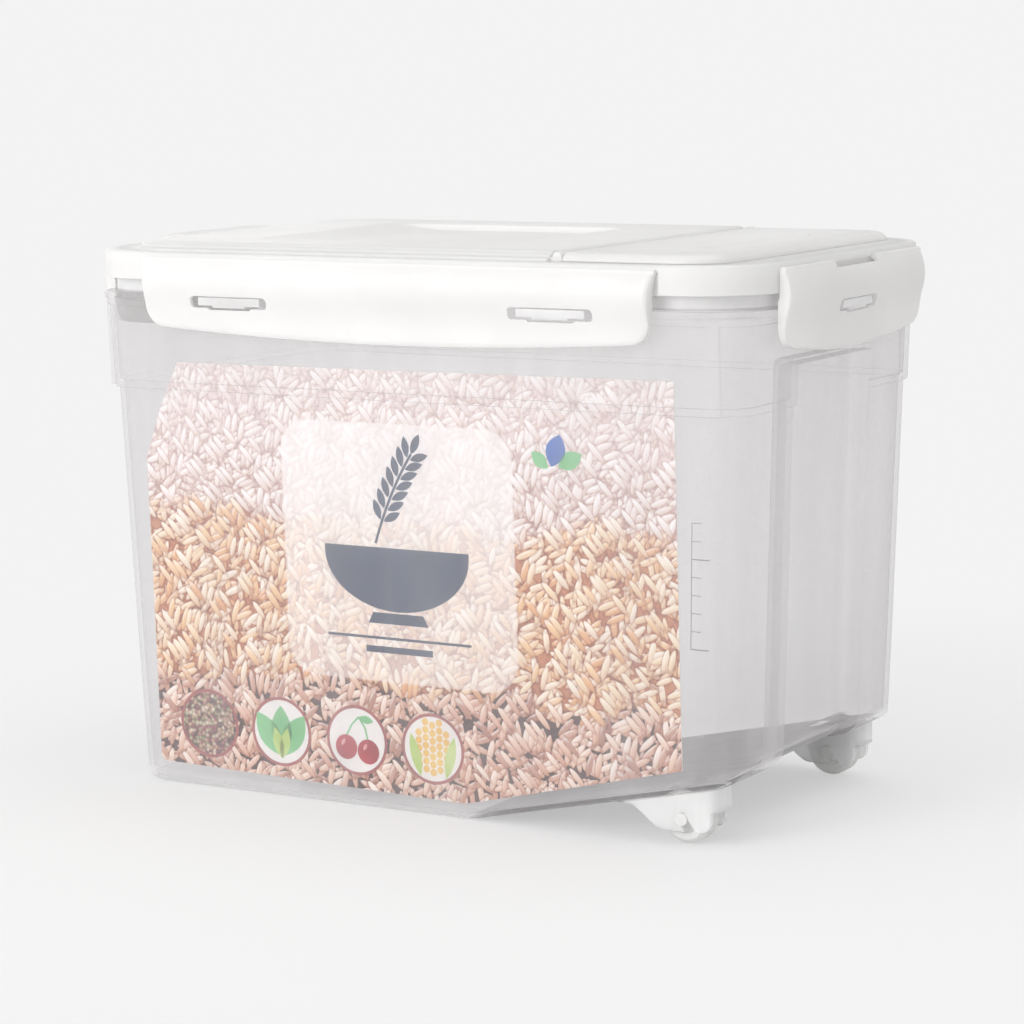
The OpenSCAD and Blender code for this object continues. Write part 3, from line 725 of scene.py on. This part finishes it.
def make_tub(material):
    tub = tub_solid("tub", 0, SHOULDER)
    band = loft("band", band_rings([(0.4, 212.9), (1.5, 213.2), (2.1, 213.8), (2.2, 214.6), (2.2, 260)]))
    panels = [leaning_panel(True), moved(leaning_panel(True), (0, 0, 0), 180), leaning_panel(False)]
    a, b = half_len(257), half_wid(257)
    profile = [(2.0, 256.0), (4.0, 256.0), (4.45, 256.3), (4.6, 256.9), (4.6, 259.2), (4.9, 259.5),
               (5.4, 259.7), (5.6, 260.2), (5.6, 262.1), (5.35, 262.7), (4.8, 263.0), (2.0, 263.0)]
    bead = loft("bead", [level(chain(-a - d, a + d, b + d, 22.4 + d, 22.4 + d), z) for d, z in profile])
    profile = [(0, NECK), (0, 278.2), (0.2, 278.7), (0.7, 279.0)]
    neck = slab("neck", -191.1, 191.1, 107.6, 36, 36, profile)
    combine(tub, [band, *panels, bead, neck])
    end = half_len(42)
    carve(tub, [toe(end, 0, 130), recess(0, 230), toe(end - 10, 0, 45), *arches(14.4, 15)])
    near = bracket()
    far = mirrored(near, "bracket_far")
    lugs = []
    for turn in (0, 180):
        for x in (LOCK_X - LUG_X, LOCK_X + LUG_X):
            lugs.append(moved(lug(19, 103.5, 117.7), Vector((x, 0, 0)) * MM, turn))
    for turn in (90, 270):
        lugs.append(moved(lug(17, 187, 200.7), (0, 0, 0), turn))
    combine(tub, [near, far, *lugs])
    cavity = tub_solid("cavity", WALL, SHOULDER + 1)
    combine(cavity, [loft("upper", band_rings([(-0.3, SHOULDER + 0.5), (-0.3, NECK + 1.5)]))])
    carve(cavity, [toe(end, WALL, 130), recess(WALL, 231), toe(end - 10, WALL, 47.5), *arches(16.9, 20)])
    combine(cavity, [slab("throat", -188.6, 188.6, 105.1, 33.5, 33.5, [(0, NECK - 1), (0, 281)])])
    carve(tub, [cavity])
    finish_mesh(tub, "tub_shell", material)
    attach(tub, "bin")
    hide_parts("bin_body")


# ---------------- main lid
SIDE_FACE, END_FACE = 116.5, 199.5       # how far the locks' faces stand out from the middle
LONG_LOCK, SHORT_LOCK = 147, 80          # half the length of a lock
AXIS_Z, KNUCKLE = 281.5, 1.4             # height of the locks' hinges, radius of their knuckles
HINGE = (90.6, 0, 287)                   # the flip lid's hinge axis, along y


def soft_top(z, r):
    """The top of a block's profile, with its upper edge rounded by r."""
    turns = [math.pi / 2 * i / 4 for i in range(5)]
    return [(r * (1 - math.cos(a)), z - r + r * math.sin(a)) for a in turns]


def lock_rooms():
    """What the four locks' pockets and hinge grooves take away from the lid."""
    out = []
    for turn, long_side in ((0, True), (180, True), (90, False), (270, False)):
        half, face, x = (149.5, SIDE_FACE, LOCK_X) if long_side else (SHORT_LOCK, END_FACE, 0)
        half += 1.5
        pocket = block("pocket", (-half, -face - 1, 269.5), (half, -face + 2.5 + 1.2, AXIS_Z))
        groove = rod("groove", "x", (0, -(face - KNUCKLE), AXIS_Z), KNUCKLE + 0.08, -half, half, 28)
        shift = Vector((x, 0, 0)) * MM
        out += [moved(pocket, shift, turn), moved(groove, shift, turn)]
    return out


def make_lid(material):
    profile = [(0.9, 270.5), (0.25, 270.8), (0, 271.5), (0, 283.2), (0.15, 284.0), (0.55, 284.6),
               (1.2, 285.0)]
    lid = slab("lid", -197, 197, 114, 43, 43, profile)
    # (inset of the rounded sides, inset of the hinge side, z) up the raised plateau
    steps = [(0, 0, 282), (-0.9, 0, 285.0), (-0.3, 0, 285.15), (0, 0, 285.6), (0.1, 0, 286.1),
             (0.6, 0, 286.6), (1.4, 0, 286.85), (2.2, 0, 287.0), (2.6, 0, 287.3), (2.9, 0, 287.9),
             (3.4, 0, 288.35), (4.2, 0, 288.6), (4.9, 0.05, 288.8), (5.3, 0.2, 289.2), (5.8, 0.5, 289.6),
             (6.5, 1.1, 289.85), (7.6, 2.0, 290)]
    plateau = loft("plateau", [level(chain(-173.2 + i, 86.6 - j, 109.2 - i, 29.2 - i, 1.0), z)
                               for i, j, z in steps])
    profile = [(-1, 284.4), (-0.4, 285.2), (0, 286), *soft_top(289, 1.2)]
    grip = slab("grip", -191, -178, 43, 4, 4, profile)
    coaming = slab("coaming", 101, 170, 95, 12, 12, [(0, 282), (0, 285.8), (0.2, 286.0)])
    combine(lid, [plateau, grip, coaming])
    ears = []
    for y0, y1 in ((-106.5, -98.4), (98.4, 106.5)):
        ears.append(rod("ear", "y", HINGE, 2.6, y0, y1, edge=0.35))
        ears.append(block("ear_foot", (86, y0 + 0.1, 284), (93.2, y1 - 0.1, 287)))
    combine(lid, ears)
    under_plate = slab("under", -193.6, 193.6, 110.6, 39.6, 39.6, [(0, 260), (0, 281.7), (0.8, 282.5)])
    hollow = slab("hollow", -165.5, 84.1, 101.5, 21.5, 2, [(0, 270), (0, 286.4), (0.7, 287.5)])
    carve(hollow, [slab("well", -115.5, 36.5, 71.5, 12, 12, [(0, 284), (0, 292)])])
    # (inset at the grip end, inset elsewhere, z) up the tray, with a long gentle ramp at the grip end
    steps = [(24, 2.2, 286.5), (20, 0.9, 286.75), (14, 0.25, 287.5), (7.5, 0, 288.6),
             (1.6, -0.25, 289.6), (-1, -0.9, 290.05), (-1, -0.9, 293)]
    tray = loft("tray", [level(chain(-113 + i, 34 - j, 69 - j, 10, 10 - j), z) for i, j, z in steps])
    hatch = slab("hatch", 103, 168, 93, 10, 10, [(0, 265), (0, 285.5), (-0.4, 286.2), (-0.4, 292)])
    pin_bore = rod("pin_bore", "y", HINGE, 1.3, -104.5, 104.5, 24)
    carve(lid, [under_plate, hollow, tray, hatch, pin_bore, *lock_rooms()])
    # the plug ring that hangs inside the tub's rim, kept to the plate so it stays one solid
    plug = slab("plug", -186.8, 186.8, 103.3, 31.7, 31.7, [(0.5, 272), (0, 272.8), (0, 283)])
    plug_in = slab("plug_in", -185.2, 185.2, 101.7, 30.1, 30.1, [(-0.3, 271.5), (0, 272.6), (0, 284)])
    carve(plug, [plug_in])
    combine(lid, [plug])
    finish_mesh(lid, "lid_shell", material)
    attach(lid, "bin")
    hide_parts("main_lid")


# ---------------- flip lid
PAD_TOP, PAD_RISE, PAD_FADE, PAD_HALF = 289.3, 1.3, 17.5, 98
# (x, drop below the pad's top) of its rows
PAD_ROWS = ((103.0, 0.5), (104.2, 0.06), (105.5, 0.0), (147.0, 0.0), (148.6, 0.2), (150.4, 0.9),
            (151.4, 1.32))
PAD_YS = (-98, -97.2, -93, -89, -85, -81.6, -79.8, -77, -40, 0, 40, 77, 79.8, 81.6, 85, 89, 93, 97.2, 98)


def pad_height(y, drop):
    """Height of the raised pad: level between its sloping ends."""
    k = min(1.0, max(0.0, (PAD_HALF - abs(y)) / PAD_FADE))
    k = k if k < 0.97 else 1.0
    return max(PAD_TOP + PAD_RISE * k - drop, 289.25)


def make_pad():
    bm = bmesh.new()
    top = [new_verts(bm, [(x, y, pad_height(y, drop)) for y in PAD_YS]) for x, drop in PAD_ROWS]
    low = [new_verts(bm, [(x, y, 288.0) for y in PAD_YS]) for x, _ in PAD_ROWS]
    m, n = len(PAD_ROWS), len(PAD_YS)
    for i in range(m - 1):
        for j in range(n - 1):
            bm.faces.new((top[i][j], top[i + 1][j], top[i + 1][j + 1], top[i][j + 1]))
            bm.faces.new((low[i][j], low[i][j + 1], low[i + 1][j + 1], low[i + 1][j]))
    for i in range(m - 1):
        for j in (0, n - 1):
            bm.faces.new((top[i][j], low[i][j], low[i + 1][j], top[i + 1][j]))
    for j in range(n - 1):
        for i in (0, m - 1):
            bm.faces.new((top[i][j], top[i][j + 1], low[i][j + 1], low[i][j]))
    return solid("pad", bm)


def make_flip(material):
    # from above: square at the hinge, round at the free corners
    profile = [(0.3, 285.12), (0, 285.4), (0, 286.0), (0.3, 286.8), (1.0, 287.6), (2.0, 288.3),
               (3.1, 288.85), (4.3, 289.2), (5.6, 289.3)]
    flip = loft("flip", [level(chain(93.6, 177 - i, 106.5 - i, 0.3, 24 - i), z) for i, z in profile])
    barrel = rod("barrel", "y", HINGE, 1.7, -98, 98, 28, 0.2)
    web = block("web", (89.9, -97.9, 286.9), (94.6, 97.9, 289.0), 0.5)
    combine(flip, [make_pad(), barrel, web])
    wide, narrow = chain(95.4, 175.2, 104.7, 0.3, 22.4), chain(95.4, 174.4, 103.9, 0.3, 21.6)
    carve(flip, [loft("hollow", [level(wide, 284), level(wide, 286.2), level(narrow, 287.3)])])
    stopper = slab("stopper", 106, 165, 90, 8, 8, [(0.5, 279.5), (0, 280.3), (0, 287.8)])
    carve(stopper, [slab("stopper_in", 107.6, 163.4, 88.4, 7, 7, [(-0.3, 279), (0, 280.2), (0, 287.4)])])
    pins = [rod("pin", "y", HINGE, 1.2, y0, y1, 24, 0.2) for y0, y1 in ((97, 104.2), (-104.2, -97))]
    combine(flip, [stopper, *pins])
    carve(flip, [rod("dimple", "z", (150, 50, 0), 0.9, 289.4, 292, 24)])
    finish_mesh(flip, "flip_lid_shell", material)
    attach(flip, "flip")
    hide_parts("flip_lid")


# ---------------- side locks
HOLLOW_R, HOLLOW_Z, FULL_R, FULL_Z = 40.0, 249.67, 25.0, 269.5
LOCK_SIDE = [AXIS_Z, 279.6, 277.7, 275.8, 273.9, 272, 270.2, 268.45, 266.6, 264.8, 263, 261.3, 259.6,
             258]
LOCK_CORNER = 11


def swell(z):
    """How far a lock's plate swells out at height z: flat, a hollow arc, then a full one."""
    if z > 261.87:
        return math.sqrt(FULL_R ** 2 - (z - FULL_Z) ** 2) - 21.9
    if z > HOLLOW_Z:
        return HOLLOW_R - math.sqrt(HOLLOW_R ** 2 - (z - HOLLOW_Z) ** 2)
    return 0.0


def lock_outline(half, low, rise, flare, shrink):
    """(x, z) points of a lock's outline: flared sides, bowed lower edge, round lower corners."""
    r = LOCK_CORNER - shrink
    a = half - shrink
    end = low + rise * (half - LOCK_CORNER) ** 2 + shrink
    side = [(a + flare * max(0.0, (z - 262) / 19.5) ** 2, z) for z in LOCK_SIDE if z > end + r + 0.3]
    pts = [(-x, z) for x, z in side] + arc(-(a - r), end + r, r, 1, 12)
    steps = 28
    for i in range(1, steps):
        x = -(a - r) + 2 * (a - r) * i / steps
        pts.append((x, low + rise * x * x + shrink))
    return pts + arc(a - r, end + r, r, 1.5, 12) + side[::-1]


def fill_lock_face(bm, loop):
    """Rows of quads between the left and the right half of a lock's outline."""
    cols = 9
    mids = {}
    n = len(loop)

    def bridge(i, j, k):
        """Point k of the row between outline points i and j."""
        if k == 0:
            return loop[i]
        if k == cols:
            return loop[j]
        if (i, k) not in mids:
            mids[i, k] = bm.verts.new(loop[i].co.lerp(loop[j].co, k / cols))
        return mids[i, k]

    for i in range(n // 2 - 1):
        i2, j, j2 = i + 1, n - 1 - i, n - 2 - i
        if i2 == j2:
            continue
        for k in range(cols):
            corners = (bridge(i, j, k), bridge(i2, j2, k), bridge(i2, j2, k + 1), bridge(i, j, k + 1))
            corners = tuple(dict.fromkeys(corners))
            if len(corners) > 2:
                bm.faces.new(corners)


def lock_shell(half, face, low, rise, flare):
    """The lock's skin: rounded outer face, a flange all round but the top, hollow at the back."""
    def line(shrink):
        return lock_outline(half, low, rise, flare, shrink)

    def at(pts, depth):
        return [(x, depth - face - swell(z), z) for x, z in pts]

    def flange(pts):
        return [(x, (4.0 if z < 268.4 else 3.2) - face, z) for x, z in pts]

    loops = [at(line(2.4), 0.0), at(line(1.1), 0.2), at(line(0.35), 0.7), at(line(0.0), 1.6),
             flange(line(0.0)), flange(line(1.8)), at(line(1.8), 2.2)]
    bm = bmesh.new()
    rows = [new_verts(bm, loop) for loop in loops]
    for a, b in zip(rows, rows[1:]):
        for i in range(len(a) - 1):
            bm.faces.new((a[i], a[i + 1], b[i + 1], b[i]))
    fill_lock_face(bm, rows[0])
    fill_lock_face(bm, rows[-1])
    bmesh.ops.holes_fill(bm, edges=[e for e in bm.edges if len(e.link_faces) == 1], sides=0)
    return solid("lock", bm)


def slot_outline(x, length):
    """(x, z) points of a slot: round ends and a wide dip with slanted sides in the lower edge."""
    a, z0, z1, r = length / 2, 257.4, 263.5, 2.2

    def corner(cx, cz, start):
        turns = [math.radians(start + 15 * i) for i in range(7)]
        return [(x + cx + r * math.cos(t), cz + r * math.sin(t)) for t in turns]

    dip = [(x - 13.5, z0), (x - 12.4, z0 - 1), (x + 12.4, z0 - 1), (x + 13.5, z0)]
    return (corner(a - r, z1 - r, 0) + corner(-a + r, z1 - r, 90) + corner(-a + r, z0 + r, 180)
            + dip + corner(a - r, z0 + r, 270))


def make_lock(node, turn, body, long_side, material):
    half, face, flare = (LONG_LOCK, SIDE_FACE, 2.5) if long_side else (SHORT_LOCK, END_FACE, 0)
    low, rise = (241.8, 0.00026) if long_side else (238.5, 0.0011)
    lock = lock_shell(half, face, low, rise, flare)
    reach = half + flare
    combine(lock, [rod("knuckle", "x", (0, -(face - KNUCKLE), AXIS_Z), KNUCKLE, -reach, reach, 28)])
    length, places = (47, (-LUG_X, LUG_X)) if long_side else (43, (0,))
    cuts = [prism("slot", slot_outline(x, length), -face - 6, -face + 7) for x in places]
    if not long_side:
        cuts.append(block("window", (-24, -face - 6, 279), (24, -face + 7, 290)))
    carve(lock, cuts)
    moved(lock, Vector((LOCK_X if long_side else 0, 0, 0)) * MM, turn)
    finish_mesh(lock, node + "_shell", material)
    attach(lock, body)
    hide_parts(node)


# ---------------- measuring cup
CUP_PLACE, CUP_HIGH = (-112, 12, 2.8), 68


def lathe(profile, sides):
    """A solid turned about z from a profile of (r, z) that starts and ends on the axis."""
    bm = bmesh.new()
    turns = [2 * math.pi * i / sides for i in range(sides)]
    rings = []
    for r, z in profile:
        points = [(r * math.cos(a), r * math.sin(a), z) for a in turns] if r else [(0, 0, z)]
        rings.append(new_verts(bm, points))
    for a, b in zip(rings, rings[1:]):
        for i in range(sides):
            j = (i + 1) % sides
            if len(a) == 1:
                bm.faces.new((a[0], b[i], b[j]))
            elif len(b) == 1:
                bm.faces.new((a[i], a[j], b[0]))
            else:
                bm.faces.new((a[i], a[j], b[j], b[i]))
    return solid("cup", bm)


def make_cup(material):
    h = CUP_HIGH
    painted_foot_light = [(0.0, 0.6), (24.5, 0.6), (25.2, 0.0), (27.2, 0.0), (28.0, 0.8)]
    outside = [(28 + 5 * k / 6, 0.8 + (h - 3.4) * k / 6) for k in range(1, 7)]
    rim = [(33.6, h - 2.3), (34.6, h - 2.0), (35.0, h - 1.4), (35.0, h - 0.6), (34.4, h), (32.4, h),
           (31.7, h - 0.6)]
    inside = [(31.3 - 4.6 * k / 6, h - 3 - (h - 6) * k / 6) for k in range(7)]
    cup = lathe(painted_foot_light + outside + rim + inside + [(25.6, 2.0), (24.0, 1.6), (0.0, 1.6)], 72)
    tab = slab("tab", 32, 78, 10, 1, 9.9, [(0.7, h - 3), (0, h - 2.4), (0, h - 0.5), (0.5, h)])
    combine(tab, [block("rib", (33.5, -1.2, h - 9), (60, 1.2, h - 2.5), 0.3)])
    carve(tab, [rod("hole", "z", (69, 0, 0), 5, h - 12, h + 4, 32)])
    combine(cup, [tab])
    moved(cup, Vector(CUP_PLACE) * MM)
    finish_mesh(cup, "scoop_cup", material)
    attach(cup, "cup")
    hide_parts("measuring_cup")


# ---------------- printed motifs on the card
CARD_FACE = -93.47                       # y of the card's face at z = 0; it leans out with the wall
FILM = 0.05                              # thickness of most printed forms
ON_RIM, ON_DISC, ON_TOP = 0.04, 0.07, 0.10   # how far the layers of a medallion stand off the card
MEDALLION_XS, MEDALLION_Z, RIM_R, DISC_R = (-131, -85, -38, 8), 34.6, 18.6, 16.9
SCALE_X, SCALE_Z, SCALE_STEP = 56, 57, 10


def on_card(outlines, name, material, off=0.0, height=FILM):
    """Lays flat forms, drawn in x-z, on the card's leaning face, this far off it."""
    obj = sheets(outlines, height)
    for v in obj.data.vertices:
        z = v.co.z / MM
        v.co.y = (CARD_FACE - DRAFT * z) * MM + v.co.y - off * MM
    obj.data.update()
    dress(obj, name, material)
    for p in obj.data.polygons:
        p.use_smooth = False
    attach(obj, "bin")


def leaf(x, z, length, width, turn):
    """A pointed oval from its foot (x, z), turned from upright by turn degrees to the right."""
    a = math.radians(turn)
    steps = 10
    side = [(width / 2 * math.sin(math.pi * k / steps) ** 0.85, length * k / steps)
            for k in range(steps + 1)]
    loop = side + [(-u, w) for u, w in side[-2:0:-1]]
    c, s = math.cos(a), math.sin(a)
    return [(x + u * c + w * s, z - u * s + w * c) for u, w in loop]


def disc(x, z, r, steps=48):
    turns = [2 * math.pi * i / steps for i in range(steps)]
    return [(x + r * math.cos(a), z + r * math.sin(a)) for a in turns]


def sheets(outlines, height):
    """Several thin flat forms as one mesh."""
    bm = bmesh.new()
    for obj in [prism("flat", o, -height, 0.0) for o in outlines]:
        bm.from_mesh(obj.data)
        bpy.data.objects.remove(obj)
    return mesh_object("flat", bm)


def stroke(points, width):
    """A band of even width along a line of points."""
    left, right = [], []
    for i, (x, z) in enumerate(points):
        a = points[max(i - 1, 0)]
        b = points[min(i + 1, len(points) - 1)]
        d = Vector((b[0] - a[0], b[1] - a[1])).normalized() * width / 2
        left.append((x - d.y, z + d.x))
        right.append((x + d.y, z - d.x))
    return left + right[::-1]


def print_motif():
    """An ear of grain on a curved stem, over a plain bowl and two lines."""
    navy = ink("ink_navy", (0.030, 0.052, 0.105), (0.040, 0.068, 0.130))
    stem = [(-22 + 1.05 * k + 0.018 * k * k, 139 + 3.1 * k - 0.02 * k * k) for k in range(18)]
    forms = [stroke(stem, 1.5)]
    for i in range(4, 18, 2):
        x, z = stem[i]
        a, b = stem[i - 1], stem[min(i + 1, 17)]
        lean = math.degrees(math.atan2(b[0] - a[0], b[1] - a[1]))
        for side in (-1, 1):
            out = math.radians(lean + 90 * side)
            forms.append(leaf(x + math.sin(out), z + math.cos(out), 11.0, 4.3, lean + 42 * side))
    forms.append(leaf(*stem[17], 11.5, 4.6, 26))
    on_card(forms, "print_ear", navy, height=0.06)
    bowl = [(-53 + 86 * k / 24, 137.0) for k in range(25)]
    turns = [math.pi * k / 24 for k in range(25)]
    bowl += [(-10 + 43 * math.cos(a), 134.0 - 30 * math.sin(a)) for a in turns]
    painted_foot_light = [(-25, 103.2), (5, 103.2), (8, 97.5), (-28, 97.5)]
    on_card([bowl, painted_foot_light], "print_bowl", navy)
    rules = [stroke([(x + length * k / 8, z) for k in range(9)], width)
             for x, length, z, width in ((-53, 86, 90.0, 1.4), (-30, 40, 84.0, 3.4))]
    on_card(rules, "print_rules", navy, height=0.06)


def print_sprig(green):
    blue = ink("ink_blue", (0.035, 0.13, 0.46), (0.05, 0.17, 0.54))
    on_card([leaf(82, 184, 17, 11, 18)], "print_leaf_blue", blue, height=0.06)
    leaves = [leaf(86, 184, 15, 9, 62), leaf(80, 183, 12, 7, -48)]
    on_card(leaves, "print_leaf_green", green, height=0.06)


SEED_COLOURS = [(0.0, (0.09, 0.06, 0.06)), (0.3, (0.33, 0.09, 0.11)), (0.5, (0.62, 0.42, 0.30)),
                (0.75, (0.30, 0.30, 0.16)), (1.0, (0.85, 0.72, 0.58))]


def medallion(k, rim, face):
    """The k-th round medallion's rim and face, and where its middle is."""
    x, z = MEDALLION_XS[k], MEDALLION_Z
    on_card([disc(x, z, RIM_R)], f"print_rim_{k}", rim)
    on_card([disc(x, z, DISC_R)], f"print_disc_{k}", face, ON_RIM)
    return x, z


def print_medallions(green):
    """Four round medallions along the foot of the card: seeds, leaves, fruit and kernels."""
    rim = ink("ink_rim", (0.33, 0.075, 0.075), (0.40, 0.10, 0.095))
    pale_and_painted_light = ink("ink_pale", (0.84, 0.82, 0.80), (0.90, 0.88, 0.86))
    seeds = speckled("print_seed_mix", SEED_COLOURS, 2.1)
    berry = ink("ink_berry", (0.34, 0.012, 0.03), (0.52, 0.03, 0.05))
    shine = ink("ink_shine", (0.72, 0.30, 0.30), (0.80, 0.42, 0.40))
    yellow = ink("ink_yellow", (0.82, 0.46, 0.06), (0.90, 0.62, 0.16))
    lime = ink("ink_lime", (0.42, 0.60, 0.12), (0.60, 0.74, 0.28))
    medallion(0, rim, seeds)

    x, z = medallion(1, rim, pale_and_painted_light)
    on_card([leaf(x, z - 13, 27, 13, a) for a in (-34, 0, 33)], "print_leaves", green, ON_DISC)
    on_card([leaf(x, z - 14.5, 17, 6.5, a) for a in (-14, 13)], "print_stalks", lime, ON_TOP)

    x, z = medallion(2, rim, pale_and_painted_light)
    fruit = [disc(x - 6.6, z - 4, 6.6, 32), disc(x + 6.8, z - 5.5, 6.6, 32)]
    on_card(fruit, "print_fruit", berry, ON_DISC)
    shines = [leaf(x - 9.6, z - 3.5, 4.5, 2.0, 30), leaf(x + 3.8, z - 5, 4.5, 2.0, 30)]
    on_card(shines, "print_fruit_shine", shine, ON_TOP)
    on_card([stroke([(x - 6.2, z + 2.4), (x - 3, z + 8), (x + 1.5, z + 12.5)], 1.0),
             stroke([(x + 6.6, z + 1.0), (x + 5.2, z + 7), (x + 1.5, z + 12.5)], 1.0),
             leaf(x + 1.5, z + 12.2, 9, 4.2, 100)], "print_fruit_stalks", green, ON_TOP)

    x, z = medallion(3, rim, pale_and_painted_light)
    kernels = [disc(x + i * 4.1, z + j * 4.1 + (i % 2) * 1.6, 1.95, 16)
               for i in range(-2, 3) for j in range(-3, 4) if (i / 2.7) ** 2 + (j / 3.6) ** 2 < 1]
    on_card(kernels, "print_kernels", yellow, ON_DISC)
    on_card([leaf(x + 7.5 * s, z - 15, 23, 6, 14 * s) for s in (-1, 1)], "print_husks", lime, ON_TOP)


def make_print():
    green = ink("ink_green", (0.16, 0.50, 0.20), (0.24, 0.60, 0.28))
    print_motif()
    print_sprig(green)
    print_medallions(green)


def make_scale():
    """A plain fill scale printed on the rear wall: level ticks and an upright line."""
    grey = ink("ink_grey", (0.56, 0.56, 0.58), (0.62, 0.62, 0.64))
    marks = [stroke([(SCALE_X, SCALE_Z), (SCALE_X, SCALE_Z + 7 * SCALE_STEP)], 0.45)]
    for i in range(8):
        z = SCALE_Z + SCALE_STEP * i
        length, width = (6, 0.4) if i % 5 else (11, 0.6)
        marks.append(stroke([(SCALE_X, z), (SCALE_X + length, z)], width))
    obj = sheets(marks, 0.06)
    for v in obj.data.vertices:
        v.co.y = (half_wid(v.co.z / MM) + 0.02) * MM - v.co.y
    obj.data.flip_normals()
    dress(obj, "print_scale", grey)
    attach(obj, "bin")


# ---------------- assembly
LOCKS = (("front_lock", 0, "lock_front", True), ("rear_lock", 180, "lock_rear", True),
         ("left_lock", 270, "lock_left", False), ("right_lock", 90, "lock_right", False))

make_stage()
lamp("key", (-0.95, -2.3, 0.85), (0, 0, 0.16), 1.3, 36)
lamp("top", (0.5, 0.3, 2.4), (0, 0, 0.2), 1.8, 11)
lamp("rear", (-1.9, 1.7, 0.55), (0, 0, 0.24), 1.2, 4)
lamp("fill", (2.2, -0.6, 0.9), (0, 0, 0.14), 1.2, 3.0)

white = moulded("white_pp", (0.92, 0.915, 0.91), (0.945, 0.942, 0.935))
clear = clear_plastic("clear_pp")
seal = moulded("silicone_seal", (0.80, 0.81, 0.82), (0.86, 0.87, 0.88), (0.5, 0.62), 0.4)
roller = moulded("wheel_nylon", (0.88, 0.88, 0.87), (0.93, 0.93, 0.92), (0.28, 0.4), 0.4)
cup_pp = moulded("cup_pp", (0.80, 0.80, 0.80), (0.86, 0.86, 0.86), (0.25, 0.36), 0.3)
kept = {"label_insert": printed_sheet("printed_card"), "main_gasket": seal, "flip_gasket": seal,
        "near_wheel": roller, "far_wheel": roller}
for node, material in kept.items():
    NODES[node].data.materials.clear()
    NODES[node].data.materials.append(material)

make_tub(clear)
make_lid(white)
make_flip(white)
for lock in LOCKS:
    make_lock(*lock, white)
make_cup(cup_pp)
make_print()
make_scale()
